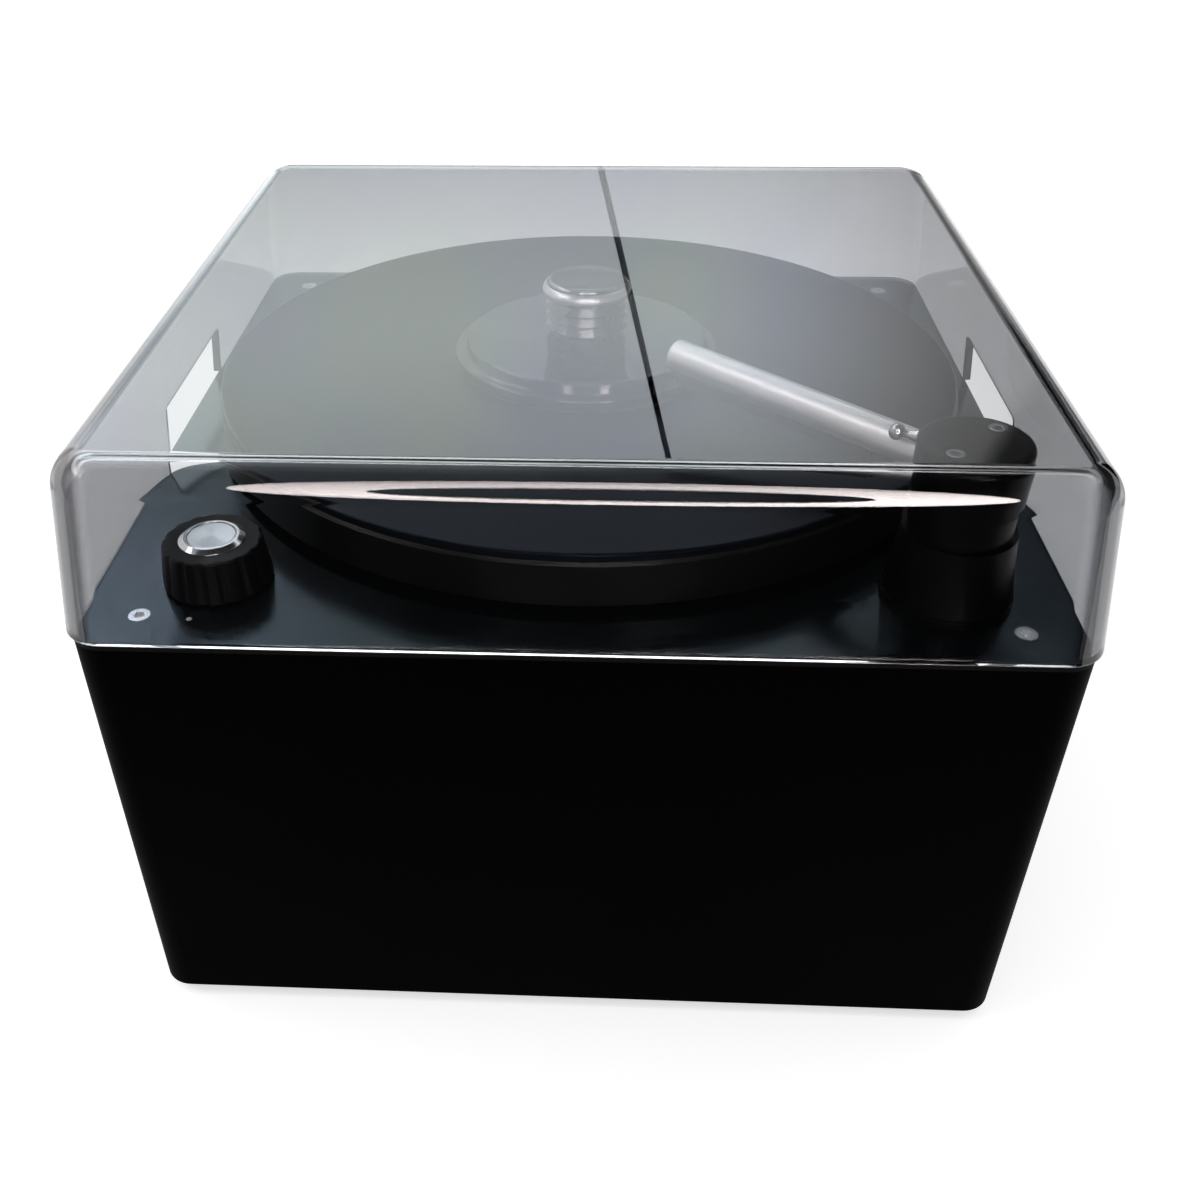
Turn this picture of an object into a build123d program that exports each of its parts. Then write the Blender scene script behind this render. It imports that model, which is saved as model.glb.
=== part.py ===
from build123d import *
import os
from math import atan2, cos, degrees, radians, sin

os.makedirs("parts", exist_ok=True)

# Record cleaning machine, in millimetres. The origin is the centre of the footprint
# on the table, +Z is up, and the front of the machine faces -Y.

# ------------------------------------------------------------------ fits and screws
run_gap = 0.05          # radial clearance of a shaft in its bearing
slip_gap = 0.1          # radial clearance of pieces that are pushed together
free_gap = 0.3          # clearance where nothing should touch

m4_r = 2.0
m4_head_r = 3.75
m4_hole_r = m4_r + slip_gap
m3_r = 1.5
m3_head_r = 3.0
m3_hole_r = m3_r + slip_gap
drive_h = 1.2           # depth of the recess for the driver
pan_head_h = 2.4

# ------------------------------------------------------------------ housing
body_w = 335.0
body_d = 330.0
corner_r = 12.0
foot_h = 6.0
foot_r = 12.0
foot_inset = 24.0       # foot centre from the housing's sides
base_t = 2.0
shell_h = 168.0
sheet_t = 2.0
flange_w = 12.0         # folded rims that the base and the top plate are screwed to
tab_r = 9.5             # round tabs on the upper rim for the corner screws
plate_t = 3.0
screw_inset_x = 21.0
screw_inset_y = 18.0

base_z = foot_h
shell_z = base_z + base_t
shell_top = shell_z + shell_h
deck_z = shell_top + plate_t
floor_z = shell_z       # inner pieces stand on the base plate
foot_x = body_w / 2 - foot_inset
foot_y = body_d / 2 - foot_inset
corner_screw_x = body_w / 2 - screw_inset_x
corner_screw_y = body_d / 2 - screw_inset_y

# ------------------------------------------------------------------ platter and its bearing
platter_y = 8.5         # the spindle stands a little behind the middle
platter_side = 17.0     # platter's rim to the housing's sides
platter_end = 14.5      # the same to front and rear, on average
platter_gap = 3.5       # under the platter
platter_t = 16.5
web_t = 8.0             # thickness of the platter between hub and rim
rim_w = 14.0
mat_step = 1.0          # the mat is this much smaller in radius than the platter
mat_t = 3.0
pin_r = 3.6             # record pin
pin_h = 21.0            # above the mat
shaft_r = 6.0
flange_r = 26.0         # spindle flange that carries the platter
hub_r = 12.0
hub_h = 10.0
washer_t = 1.0
washer_r = 13.0
bearing_r = 14.0
bearing_h = 64.0
bearing_flange_r = 32.0
bearing_flange_t = 5.0
bearing_pcd = 24.0      # radius of the bearing's screw circle
bush_r = 9.0
bush_h = 14.0

platter_r = min(body_w / 2 - platter_side, body_d / 2 - platter_end)
platter_z = deck_z + platter_gap
platter_top = platter_z + platter_t
mat_z = platter_top + mat_t
bearing_bottom = deck_z - bearing_h

# ------------------------------------------------------------------ platter drive
motor_x = -53.0         # axis of the motor pulley
motor_y = -44.5
pulley_r = 45.0
pulley_h = 10.0
motor_pulley_r = 10.0
pulley_lip = 1.6
pulley_lip_h = 2.0
pulley_hub_r = 12.0
pulley_drop = 8.0       # below the bearing
motor_shaft_r = 3.0
belt_t = 1.2
belt_gap = 0.1
gearbox_r = 18.5
gearbox_h = 24.0
motor_can_r = 17.5
motor_can_h = 30.0
motor_offset = 7.0      # output shaft from the motor's own axis
bracket_w = 80.0
bracket_d = 76.0
bracket_t = 3.0
bracket_r = 8.0
bracket_drop = 62.0     # underside of the top plate to the top of the bracket
post_r = 4.0
post_span_x = 64.0
post_span_y = 60.0

pulley_z = bearing_bottom - pulley_drop - pulley_h
bracket_z = shell_top - bracket_drop
motor_body_x = motor_x - motor_offset * cos(radians(45))
motor_body_y = motor_y - motor_offset * sin(radians(45))

# ------------------------------------------------------------------ vacuum tower
tower_side = 42.5       # tower axis to the housing's right side
tower_front = 41.0      # and to its front
column_flange_r = 22.0
column_flange_t = 2.5
column_foot_r = 21.3
column_top_r = 18.6
column_h = 25.8
column_tube_r = 17.4    # below the top plate
column_depth = 47.0
sleeve_r = 16.9
guide_r = 14.0
guide_ledge = 26.0      # depth of the ledge that carries the swivel bush
well_r = 10.0
well_depth = 44.0
nozzle_r = 9.5
nozzle_bore_r = 7.5
nozzle_l = 15.0
nut_r = 20.0
nut_t = 5.0
swivel_h = 10.0
pipe_r = 8.0
pipe_bore_r = 6.5
sleeve_end_h = 10.0     # lower end of the sleeve above the deck
pipe_depth = 28.2       # lower end of the pipe below the deck
pipe_stop_r = 9.4       # collar under the swivel bush that stops the arm's rise
wire_r = 0.8
wire_sides = 6          # flats that stand for the round wire
coil_r = 10.8
coil_turns = 6.0

arm_angle = 136.3       # from +X, seen from above
arm_h = 44.0            # axis of the arm above the deck
arm_r = 6.0
arm_bore_r = 4.8
arm_reach = 124.0       # tower axis to the tip
head_r = 18.3
head_bottom_h = 36.5
head_top_h = 54.5
head_edge_r = 2.2
head_bore_r = 9.0
head_roof_t = 3.5
head_screw_r = 12.3     # head screws from the tower axis
head_screw_l = 14.0
slot_start = 38.0
slot_margin = 4.0       # end of the slot to the tip
slot_w = 2.5
lip_w = 2.0
lip_drop = 3.0          # the lips hang this far below the tube
lip_end = 2.0           # and run this far past the slot
plug_l = 6.0
finger_angle = 152.0
finger_h = 51.0
finger_r = 1.4
finger_root_l = 5.0
finger_reach = 25.3
finger_ball_r = 2.8
finger_collar_r = 2.3
finger_collar_l = 3.0

tower_x = body_w / 2 - tower_side
tower_y = tower_front - body_d / 2
slot_end = arm_reach - slot_margin

# ------------------------------------------------------------------ control knob
knob_gap = 0.8
knob_foot_r = 19.0
knob_top_r = 17.0
knob_h = 15.2
knob_flutes = 16
flute_r = 2.4
flute_cut = 0.7
knob_skirt_h = 5.0      # hollow over the switch nut
knob_skirt_t = 4.5
knob_web_t = 2.7
bezel_foot_r = 11.4
bezel_top_r = 9.2
bezel_h = 1.6
bezel_barrel_r = 9.6
bezel_floor_t = 1.4
button_r = 8.25
button_gap = 0.25
button_sink = 0.1       # its face below the bezel
button_travel = 1.5     # and as much again is spare below it
switch_r = 13.0
switch_h = 22.0
switch_bush_r = 4.8
switch_bush_h = 4.0
switch_shaft_r = 3.0
switch_nut_r = 7.0
switch_nut_t = 2.5
wire_hole_r = 1.5

knob_x = -tower_x
knob_y = tower_y
knob_z = deck_z + knob_gap
knob_top = knob_z + knob_h
web_z = knob_z + knob_skirt_h
pocket_z = web_z + knob_web_t
button_h = knob_top + bezel_h - button_sink - pocket_z - bezel_floor_t - 2 * button_travel

# ------------------------------------------------------------------ record clamp
clamp_r = 54.0
clamp_seal_r = 53.0
clamp_seal_bore_r = 40.0
clamp_seal_t = 1.2
clamp_rim_h = 5.5
clamp_step_r = 50.0
clamp_shoulder_r = 48.5
clamp_shoulder_h = 9.8
clamp_seat_r = 14.0
clamp_seat_h = 11.2
grip_neck_r = 13.0
grip_foot_h = 14.6
grip_rib_r = 16.6
grip_rib_pitch = 4.2
grip_ribs = 3
grip_groove = 0.7
grip_collar_r = 18.0
grip_h = 32.2
badge_r = 15.6
badge_seat_t = 1.0
badge_edge_t = 1.6
badge_h = 34.0
insert_r = 6.0
insert_top_h = 20.0
grip_bore_h = 24.0

# ------------------------------------------------------------------ dust cover
cover_overhang = 2.0
cover_h = 62.0
cover_t = 3.5
cover_draft = 6.5       # each side leans in by this much
cover_corner_r = 15.0
cover_edge_r = 12.5
notch_w = 80.0
notch_h = 20.5
notch_r = 2.0

# ------------------------------------------------------------------ vacuum motor and tank
vac_side = 72.5         # motor axis to the housing's left side
vac_rear = 70.0         # and to its rear
vac_mount_r = 40.0
vac_mount_bore_r = 28.0
vac_mount_h = 6.0
vac_can_r = 38.0
vac_fan_r = 50.0
vac_fan_h = 36.0
vac_top_r = 34.0
vac_top_h = 30.0
vac_nozzle_l = 16.0

tank_side = 19.5        # tank to the housing's right side
tank_rear = 41.0        # and to its rear
tank_w = 120.0
tank_d = 172.0
tank_leg_h = 6.0
tank_leg_r = 7.0
tank_leg_inset = 14.0
tank_clear = 1.6        # tank screws to the driven pulley
tank_wall = 2.5
tank_r = 10.0
tank_rim_w = 5.0
tank_rim_t = 3.0
lid_t = 3.0
hose_drop = 16.0        # hose axis below the top of the tank
hose_wall = 2.0
hose_bend_r = 38.0
clip_w = 9.0
clip_t = 0.8
clip_block_l = 10.0
clip_block_h = 5.0

vac_x = vac_side - body_w / 2
vac_y = body_d / 2 - vac_rear
tank_x1 = body_w / 2 - tank_side
tank_y1 = body_d / 2 - tank_rear
tank_x0 = tank_x1 - tank_w
tank_y0 = tank_y1 - tank_d
tank_mid_x = tank_x1 - tank_w / 2
tank_mid_y = tank_y1 - tank_d / 2
tank_z = floor_z + tank_leg_h
tank_top = pulley_z - tank_clear - pan_head_h - lid_t
tank_h = tank_top - tank_z
hose_z = tank_top - hose_drop
hose_bore_r = nozzle_r + slip_gap
hose_r = hose_bore_r + hose_wall
vac_fan_z = hose_z - vac_fan_h / 2
vac_can_z = floor_z + vac_mount_h
vac_can_h = vac_fan_z - vac_can_z

# ------------------------------------------------------------------ rear wall
drain_side = 67.5       # drain to the housing's side
drain_z = 27.0
drain_cup_r = 15.5
drain_cup_t = 1.5
drain_flange_r = 17.5
drain_depth = 20.0
drain_spigot_r = 5.0
drain_bore_r = 3.0
drain_spigot_drop = 4.5
drain_spigot_l = 13.0
plug_r = 7.2
plug_cap_t = 4.0
plug_grip_l = 12.0

inlet_x = -8.0
inlet_z = 44.0
inlet_flange_w = 50.0
inlet_flange_h = 24.0
inlet_flange_t = 1.8
inlet_w = 28.0
inlet_h = 20.0
inlet_depth = 22.0
socket_w = 24.4
socket_h = 16.6
socket_r = 3.0
socket_depth = 16.0
inlet_pin_w = 2.0
inlet_pin_h = 4.0
inlet_pin_l = 13.0
inlet_pin_x = 7.0
inlet_pin_z = 2.0
inlet_screw_x = 20.0

rocker_z = 84.0
rocker_frame_w = 15.0
rocker_frame_h = 21.0
rocker_frame_t = 1.5
rocker_frame_r = 1.5
rocker_body_w = 13.0
rocker_body_h = 19.4
rocker_body_depth = 18.0
rocker_w = 10.4
rocker_r = 8.2
rocker_gap = 0.3
rocker_pivot_depth = 3.0
rocker_face = 3.0       # face of the rocker from its pivot
rocker_tilt = 8.0

vent_w = 40.0
vent_h = 3.0
vent_pitch = 9.0
vent_n = 8
vent_z = 110.0

# ------------------------------------------------------------------ power board
board_side = 72.5       # board's middle to the housing's left side
board_front = 95.0      # and to its front
board_w = 112.0
board_d = 84.0
board_t = 1.6
board_post_r = 3.0
board_post_h = 8.0
board_post_inset = 6.0

board_x = board_side - body_w / 2
board_y = board_front - body_d / 2

drain_x = body_w / 2 - drain_side

# ------------------------------------------------------------------ planes and places
arm_dir = Vector(cos(radians(arm_angle)), sin(radians(arm_angle)), 0)
finger_dir = Vector(cos(radians(finger_angle)), sin(radians(finger_angle)), 0)
spindle_axis = Axis((0, platter_y, 0), (0, 0, 1))
tower_axis = Axis((tower_x, tower_y, 0), (0, 0, 1))
vac_axis = Axis((vac_x, vac_y, 0), (0, 0, 1))
rear = Plane(origin=(0, body_d / 2, 0), x_dir=(-1, 0, 0), z_dir=(0, 1, 0))
arm_end = Plane(origin=(tower_x, tower_y, deck_z + arm_h), z_dir=arm_dir)
arm_top = Plane(origin=(tower_x, tower_y, deck_z + arm_h), x_dir=arm_dir, z_dir=(0, 0, 1))
finger_root = Plane(
    origin=Vector(tower_x, tower_y, deck_z + finger_h) + finger_dir * (head_r - finger_root_l),
    z_dir=finger_dir,
)


def upright(x, y, z=0):
    """Plane through an upright axis, for a profile that is revolved about it."""
    return Plane(origin=(x, y, z), x_dir=(1, 0, 0), z_dir=(0, -1, 0))


def tower_level(h):
    """Level plane at a height over the deck, with its X along the vacuum arm."""
    return Plane(origin=(tower_x, tower_y, deck_z + h), x_dir=arm_dir, z_dir=(0, 0, 1))


def countersunk_screw(radius, head_radius, length):
    """One countersunk screw, its flat top at the current location."""
    top = (Align.CENTER, Align.CENTER, Align.MAX)
    Cone(radius, head_radius, head_radius - radius, align=top)
    Cylinder(radius, length, align=top)
    Cylinder(radius / 2, drive_h, align=top, mode=Mode.SUBTRACT)


def pan_screw(radius, head_radius, length):
    """One pan head screw that is driven in downwards, from the current location."""
    Cylinder(head_radius, pan_head_h, align=(Align.CENTER, Align.CENTER, Align.MIN))
    Cylinder(radius, length, align=(Align.CENTER, Align.CENTER, Align.MAX))


post_x0 = motor_body_x
post_y0 = motor_body_y
corner_spots = [(i * corner_screw_x, j * corner_screw_y) for i in (-1, 1) for j in (-1, 1)]
bearing_spots = [
    (bearing_pcd * cos(radians(a)), platter_y + bearing_pcd * sin(radians(a))) for a in (45, 135, 225, 315)
]
post_spots = [
    (post_x0 + i * post_span_x / 2, post_y0 + j * post_span_y / 2) for i in (-1, 1) for j in (-1, 1)
]
deck_screw_spots = corner_spots + bearing_spots + post_spots

# ================================================================== housing

# Four walls folded from one sheet, with rims turned in above and below.
with BuildPart() as housing_shell:
    with BuildSketch(Plane.XY.offset(shell_z)):
        RectangleRounded(body_w, body_d, corner_r)
    extrude(amount=shell_h)
    with BuildSketch(Plane.XY.offset(shell_z + sheet_t)):
        RectangleRounded(body_w - 2 * sheet_t, body_d - 2 * sheet_t, corner_r - sheet_t)
    extrude(amount=shell_h - 2 * sheet_t, mode=Mode.SUBTRACT)
    with BuildSketch(Plane.XY.offset(shell_top - sheet_t)):
        Rectangle(body_w - 2 * flange_w, body_d - 2 * flange_w)
        with Locations(*corner_spots):
            Circle(tab_r, mode=Mode.SUBTRACT)
    extrude(amount=sheet_t, mode=Mode.SUBTRACT)
    with BuildSketch(Plane.XY.offset(shell_z)):
        Rectangle(body_w - 2 * flange_w, body_d - 2 * flange_w)
        with GridLocations(2 * foot_x, 2 * foot_y, 2, 2):
            RectangleRounded(2 * foot_r + flange_w, 2 * foot_r + flange_w, foot_r, mode=Mode.SUBTRACT)
    extrude(amount=sheet_t, mode=Mode.SUBTRACT)
    with BuildSketch(Plane.XY.offset(shell_top - sheet_t)):
        with Locations(*corner_spots):
            Circle(m4_hole_r)
    extrude(amount=sheet_t, mode=Mode.SUBTRACT)
    with BuildSketch(Plane.XY.offset(shell_z)):
        with GridLocations(2 * foot_x, 2 * foot_y, 2, 2):
            Circle(m4_hole_r)
    extrude(amount=sheet_t, mode=Mode.SUBTRACT)
    with BuildSketch(rear):
        with Locations((-inlet_x, inlet_z)):
            Rectangle(inlet_w + 2 * slip_gap, inlet_h + 2 * slip_gap)
            with GridLocations(2 * inlet_screw_x, 1, 2, 1):
                Circle(m3_hole_r)
        with Locations((-inlet_x, rocker_z)):
            Rectangle(rocker_body_w + 2 * slip_gap, rocker_body_h + 2 * slip_gap)
        with Locations((-drain_x, drain_z)):
            Circle(drain_cup_r + slip_gap)
        with Locations((-vac_x, vent_z)):
            with GridLocations(1, vent_pitch, 1, vent_n):
                SlotOverall(vent_w, vent_h)
    extrude(amount=-sheet_t, mode=Mode.SUBTRACT)
housing_shell.part.label = "housing_shell"
export_step(housing_shell.part, "parts/housing_shell.step")

# Flat sheet that closes the housing from below.
with BuildPart() as base_plate:
    with BuildSketch(Plane.XY.offset(base_z)):
        RectangleRounded(body_w, body_d, corner_r)
        with GridLocations(2 * foot_x, 2 * foot_y, 2, 2):
            Circle(m4_hole_r, mode=Mode.SUBTRACT)
    extrude(amount=base_t)
base_plate.part.label = "base_plate"
export_step(base_plate.part, "parts/base_plate.step")

# Rubber feet, narrower towards the table, with a pocket that hides the screw head.
foot_taper = 10.0
pocket_r = m4_head_r + free_gap
foot_seat_t = 2.6
with BuildPart() as feet:
    with BuildSketch(Plane.XY.offset(foot_h)):
        with GridLocations(2 * foot_x, 2 * foot_y, 2, 2):
            Circle(foot_r)
    extrude(amount=-foot_h, taper=foot_taper)
    with BuildSketch():
        with GridLocations(2 * foot_x, 2 * foot_y, 2, 2):
            Circle(pocket_r)
    extrude(amount=foot_h - foot_seat_t, mode=Mode.SUBTRACT)
    with BuildSketch():
        with GridLocations(2 * foot_x, 2 * foot_y, 2, 2):
            Circle(m4_hole_r)
    extrude(amount=foot_h, mode=Mode.SUBTRACT)
feet.part.label = "feet"
export_step(feet.part, "parts/feet.step")

screw_end = 2.0         # the screws stand this far out of the last sheet
foot_screw_l = foot_seat_t + base_t + sheet_t + screw_end
with BuildPart() as foot_screws:
    with BuildSketch(Plane.XY.offset(foot_h - foot_seat_t)):
        with GridLocations(2 * foot_x, 2 * foot_y, 2, 2):
            Circle(m4_head_r)
    extrude(amount=-pan_head_h)
    with BuildSketch(Plane.XY.offset(foot_h - foot_seat_t)):
        with GridLocations(2 * foot_x, 2 * foot_y, 2, 2):
            Circle(m4_r)
    extrude(amount=foot_screw_l)
foot_screws.part.label = "foot_screws"
export_step(foot_screws.part, "parts/foot_screws.step")

# Top plate: holes for the bearing, the tower and the switch, and countersunk screw holes.
plate_edge = 0.5
with BuildPart() as top_plate:
    with BuildSketch(Plane.XY.offset(shell_top)):
        RectangleRounded(body_w, body_d, corner_r)
        with Locations((0, platter_y)):
            Circle(bearing_r + slip_gap, mode=Mode.SUBTRACT)
        with Locations((tower_x, tower_y)):
            Circle(column_tube_r + slip_gap, mode=Mode.SUBTRACT)
        with Locations((knob_x, knob_y)):
            Circle(switch_bush_r + slip_gap, mode=Mode.SUBTRACT)
    extrude(amount=plate_t)
    chamfer(top_plate.faces().sort_by(Axis.Z)[-1].outer_wire().edges(), plate_edge)
    with Locations(*[(x, y, deck_z) for x, y in deck_screw_spots]):
        CounterSinkHole(m4_hole_r, m4_head_r + slip_gap, depth=plate_t)
top_plate.part.label = "top_plate"
export_step(top_plate.part, "parts/top_plate.step")

# Countersunk screws of the top plate: four corners, four for the bearing, four for the posts.
plate_screw_l = 9.0
screw_sink = 0.1
with BuildPart() as plate_screws:
    with Locations(*[(x, y, deck_z - screw_sink) for x, y in deck_screw_spots]):
        countersunk_screw(m4_r, m4_head_r, plate_screw_l)
plate_screws.part.label = "plate_screws"
export_step(plate_screws.part, "parts/plate_screws.step")

# ================================================================== platter and drive

# Turned housing that hangs under the top plate and holds the two bushes.
with BuildPart() as bearing_housing:
    with BuildSketch(Plane.XY.offset(shell_top)):
        with Locations((0, platter_y)):
            Circle(bearing_flange_r)
    extrude(amount=-bearing_flange_t)
    with BuildSketch(Plane.XY.offset(bearing_bottom)):
        with Locations((0, platter_y)):
            Circle(bearing_r)
    extrude(amount=bearing_h)
    with BuildSketch(Plane.XY.offset(bearing_bottom)):
        with Locations((0, platter_y)):
            Circle(bush_r)
    extrude(amount=bearing_h, mode=Mode.SUBTRACT)
    with Locations(*[(x, y, shell_top) for x, y in bearing_spots]):
        Hole(m4_hole_r, depth=bearing_flange_t)
bearing_housing.part.label = "bearing_housing"
export_step(bearing_housing.part, "parts/bearing_housing.step")

with BuildPart() as bearing_bushes:
    with BuildSketch(Plane.XY.offset(bearing_bottom), Plane.XY.offset(deck_z - bush_h)):
        with Locations((0, platter_y)):
            Circle(bush_r)
            Circle(shaft_r + run_gap, mode=Mode.SUBTRACT)
    extrude(amount=bush_h)
bearing_bushes.part.label = "bearing_bushes"
export_step(bearing_bushes.part, "parts/bearing_bushes.step")

with BuildPart() as thrust_washer:
    with BuildSketch(Plane.XY.offset(deck_z)):
        with Locations((0, platter_y)):
            Circle(washer_r)
            Circle(shaft_r + slip_gap, mode=Mode.SUBTRACT)
    extrude(amount=washer_t)
thrust_washer.part.label = "thrust_washer"
export_step(thrust_washer.part, "parts/thrust_washer.step")

# Spindle: shaft, flange under the platter, hub and record pin in one turned piece.
shaft_spare = 1.0       # the shaft stands this far out of its pulley
shaft_end = pulley_z - shaft_spare
pin_top = mat_z + pin_h
pin_tip_r = 2.0
with BuildPart() as spindle_shaft:
    with BuildSketch(upright(0, platter_y)):
        with BuildLine():
            Polyline(
                (0, shaft_end),
                (shaft_r, shaft_end),
                (shaft_r, deck_z + washer_t + run_gap),
                (flange_r, deck_z + washer_t + run_gap),
                (flange_r, platter_z),
                (hub_r, platter_z),
                (hub_r, platter_z + hub_h),
                (pin_r, platter_z + hub_h),
                (pin_r, pin_top - pin_tip_r),
                (pin_r - pin_tip_r, pin_top),
                (0, pin_top),
                close=True,
            )
        make_face()
    revolve(axis=spindle_axis)
spindle_shaft.part.label = "spindle_shaft"
export_step(spindle_shaft.part, "parts/spindle_shaft.step")

# Platter: hollowed from below between the hub and a heavy rim.
platter_hub_r = 34.0
platter_edge = 1.2
with BuildPart() as platter:
    with BuildSketch(Plane.XY.offset(platter_z)):
        with Locations((0, platter_y)):
            Circle(platter_r)
    extrude(amount=platter_t)
    chamfer(platter.edges().group_by(Axis.Z)[-1], platter_edge)
    with BuildSketch(Plane.XY.offset(platter_z)):
        with Locations((0, platter_y)):
            Circle(platter_r - rim_w)
            Circle(platter_hub_r, mode=Mode.SUBTRACT)
    extrude(amount=platter_t - web_t, mode=Mode.SUBTRACT)
    with BuildSketch(Plane.XY.offset(platter_z)):
        with Locations((0, platter_y)):
            Circle(hub_r + slip_gap)
    extrude(amount=hub_h + slip_gap, mode=Mode.SUBTRACT)
    with BuildSketch(Plane.XY.offset(platter_z)):
        with Locations((0, platter_y)):
            Circle(pin_r + slip_gap)
    extrude(amount=platter_t, mode=Mode.SUBTRACT)
platter.part.label = "platter"
export_step(platter.part, "parts/platter.step")

mat_edge = 0.8
with BuildPart() as platter_mat:
    with BuildSketch(Plane.XY.offset(platter_top)):
        with Locations((0, platter_y)):
            Circle(platter_r - mat_step)
            Circle(pin_r + slip_gap, mode=Mode.SUBTRACT)
    extrude(amount=mat_t)
    fillet(platter_mat.edges().group_by(Axis.Z)[-1].sort_by(SortBy.LENGTH)[-1], mat_edge)
platter_mat.part.label = "platter_mat"
export_step(platter_mat.part, "parts/platter_mat.step")

# Driven pulley: the flat belt runs between two lips, and a thin web joins rim and hub.
pulley_rim_w = 6.0
pulley_web_t = 4.0
with BuildPart() as driven_pulley:
    with BuildSketch(upright(0, platter_y, pulley_z)):
        with BuildLine():
            Polyline(
                (shaft_r + slip_gap, 0),
                (pulley_hub_r, 0),
                (pulley_hub_r, pulley_lip_h),
                (pulley_r - pulley_rim_w, pulley_lip_h),
                (pulley_r - pulley_rim_w, 0),
                (pulley_r + pulley_lip, 0),
                (pulley_r + pulley_lip, pulley_lip_h),
                (pulley_r, pulley_lip_h),
                (pulley_r, pulley_h - pulley_lip_h),
                (pulley_r + pulley_lip, pulley_h - pulley_lip_h),
                (pulley_r + pulley_lip, pulley_h),
                (pulley_r - pulley_rim_w, pulley_h),
                (pulley_r - pulley_rim_w, pulley_lip_h + pulley_web_t),
                (pulley_hub_r, pulley_lip_h + pulley_web_t),
                (pulley_hub_r, pulley_h + pulley_lip_h),
                (shaft_r + slip_gap, pulley_h + pulley_lip_h),
                close=True,
            )
        make_face()
    revolve(axis=spindle_axis)
driven_pulley.part.label = "driven_pulley"
export_step(driven_pulley.part, "parts/driven_pulley.step")

# Motor pulley with the output shaft that it is pressed on.
motor_shaft_in = 12.0   # how far the shaft reaches into the gearbox
with BuildPart() as motor_pulley:
    with BuildSketch(upright(motor_x, motor_y, pulley_z)):
        with BuildLine():
            Polyline(
                (0, 0),
                (motor_pulley_r + pulley_lip, 0),
                (motor_pulley_r + pulley_lip, pulley_lip_h),
                (motor_pulley_r, pulley_lip_h),
                (motor_pulley_r, pulley_h - pulley_lip_h),
                (motor_pulley_r + pulley_lip, pulley_h - pulley_lip_h),
                (motor_pulley_r + pulley_lip, pulley_h),
                (motor_shaft_r, pulley_h),
                (motor_shaft_r, bracket_z - pulley_z + motor_shaft_in),
                (0, bracket_z - pulley_z + motor_shaft_in),
                close=True,
            )
        make_face()
    revolve(axis=Axis((motor_x, motor_y, 0), (0, 0, 1)))
motor_pulley.part.label = "motor_pulley"
export_step(motor_pulley.part, "parts/motor_pulley.step")

# Flat belt round both pulleys.
belt_h = pulley_h - 2 * pulley_lip_h - 2 * free_gap


def belt_outline(grow):
    """Outline round both pulleys, clear of their grooves by the given amount."""
    with BuildSketch(Plane.XY.offset(pulley_z + pulley_lip_h + free_gap)) as outline:
        with Locations((0, platter_y)):
            Circle(pulley_r + grow)
        with Locations((motor_x, motor_y)):
            Circle(motor_pulley_r + grow)
        make_hull()
    return outline.sketch


with BuildPart() as drive_belt:
    add(belt_outline(belt_gap + belt_t))
    extrude(amount=belt_h)
    add(belt_outline(belt_gap))
    extrude(amount=belt_h, mode=Mode.SUBTRACT)
drive_belt.part.label = "drive_belt"
export_step(drive_belt.part, "parts/drive_belt.step")

# Gear motor: gearbox below, motor can above, output shaft off its centre.
terminal_w = 5.0
terminal_h = 4.0
with BuildPart() as gear_motor:
    with BuildSketch(Plane.XY.offset(bracket_z)):
        with Locations((motor_body_x, motor_body_y)):
            Circle(gearbox_r)
    extrude(amount=gearbox_h)
    with BuildSketch(Plane.XY.offset(bracket_z + gearbox_h)):
        with Locations((motor_body_x, motor_body_y)):
            Circle(motor_can_r)
    extrude(amount=motor_can_h)
    with BuildSketch(Plane.XY.offset(bracket_z + gearbox_h + motor_can_h)):
        with Locations((motor_body_x, motor_body_y)):
            with GridLocations(2 * terminal_w, 1, 2, 1):
                Rectangle(terminal_w / 2, terminal_w)
    extrude(amount=terminal_h)
    with BuildSketch(Plane.XY.offset(bracket_z)):
        with Locations((motor_x, motor_y)):
            Circle(motor_shaft_r + run_gap)
    extrude(amount=motor_shaft_in + free_gap, mode=Mode.SUBTRACT)
gear_motor.part.label = "gear_motor"
export_step(gear_motor.part, "parts/gear_motor.step")

with BuildPart() as motor_bracket:
    with BuildSketch(Plane.XY.offset(bracket_z)):
        with Locations((post_x0, post_y0)):
            RectangleRounded(bracket_w, bracket_d, bracket_r)
            with GridLocations(post_span_x, post_span_y, 2, 2):
                Circle(m4_hole_r, mode=Mode.SUBTRACT)
        with Locations((motor_x, motor_y)):
            Circle(motor_shaft_r + free_gap, mode=Mode.SUBTRACT)
    extrude(amount=-bracket_t)
motor_bracket.part.label = "motor_bracket"
export_step(motor_bracket.part, "parts/motor_bracket.step")

# Posts between the top plate and the bracket, tapped at both ends.
post_tap = 8.0
with BuildPart() as bracket_posts:
    with BuildSketch(Plane.XY.offset(bracket_z)):
        with Locations(*post_spots):
            RegularPolygon(post_r, 6, major_radius=False)
    extrude(amount=bracket_drop)
    with BuildSketch(Plane.XY.offset(bracket_z), Plane.XY.offset(shell_top - post_tap)):
        with Locations(*post_spots):
            Circle(m4_hole_r)
    extrude(amount=post_tap, mode=Mode.SUBTRACT)
bracket_posts.part.label = "bracket_posts"
export_step(bracket_posts.part, "parts/bracket_posts.step")

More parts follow.
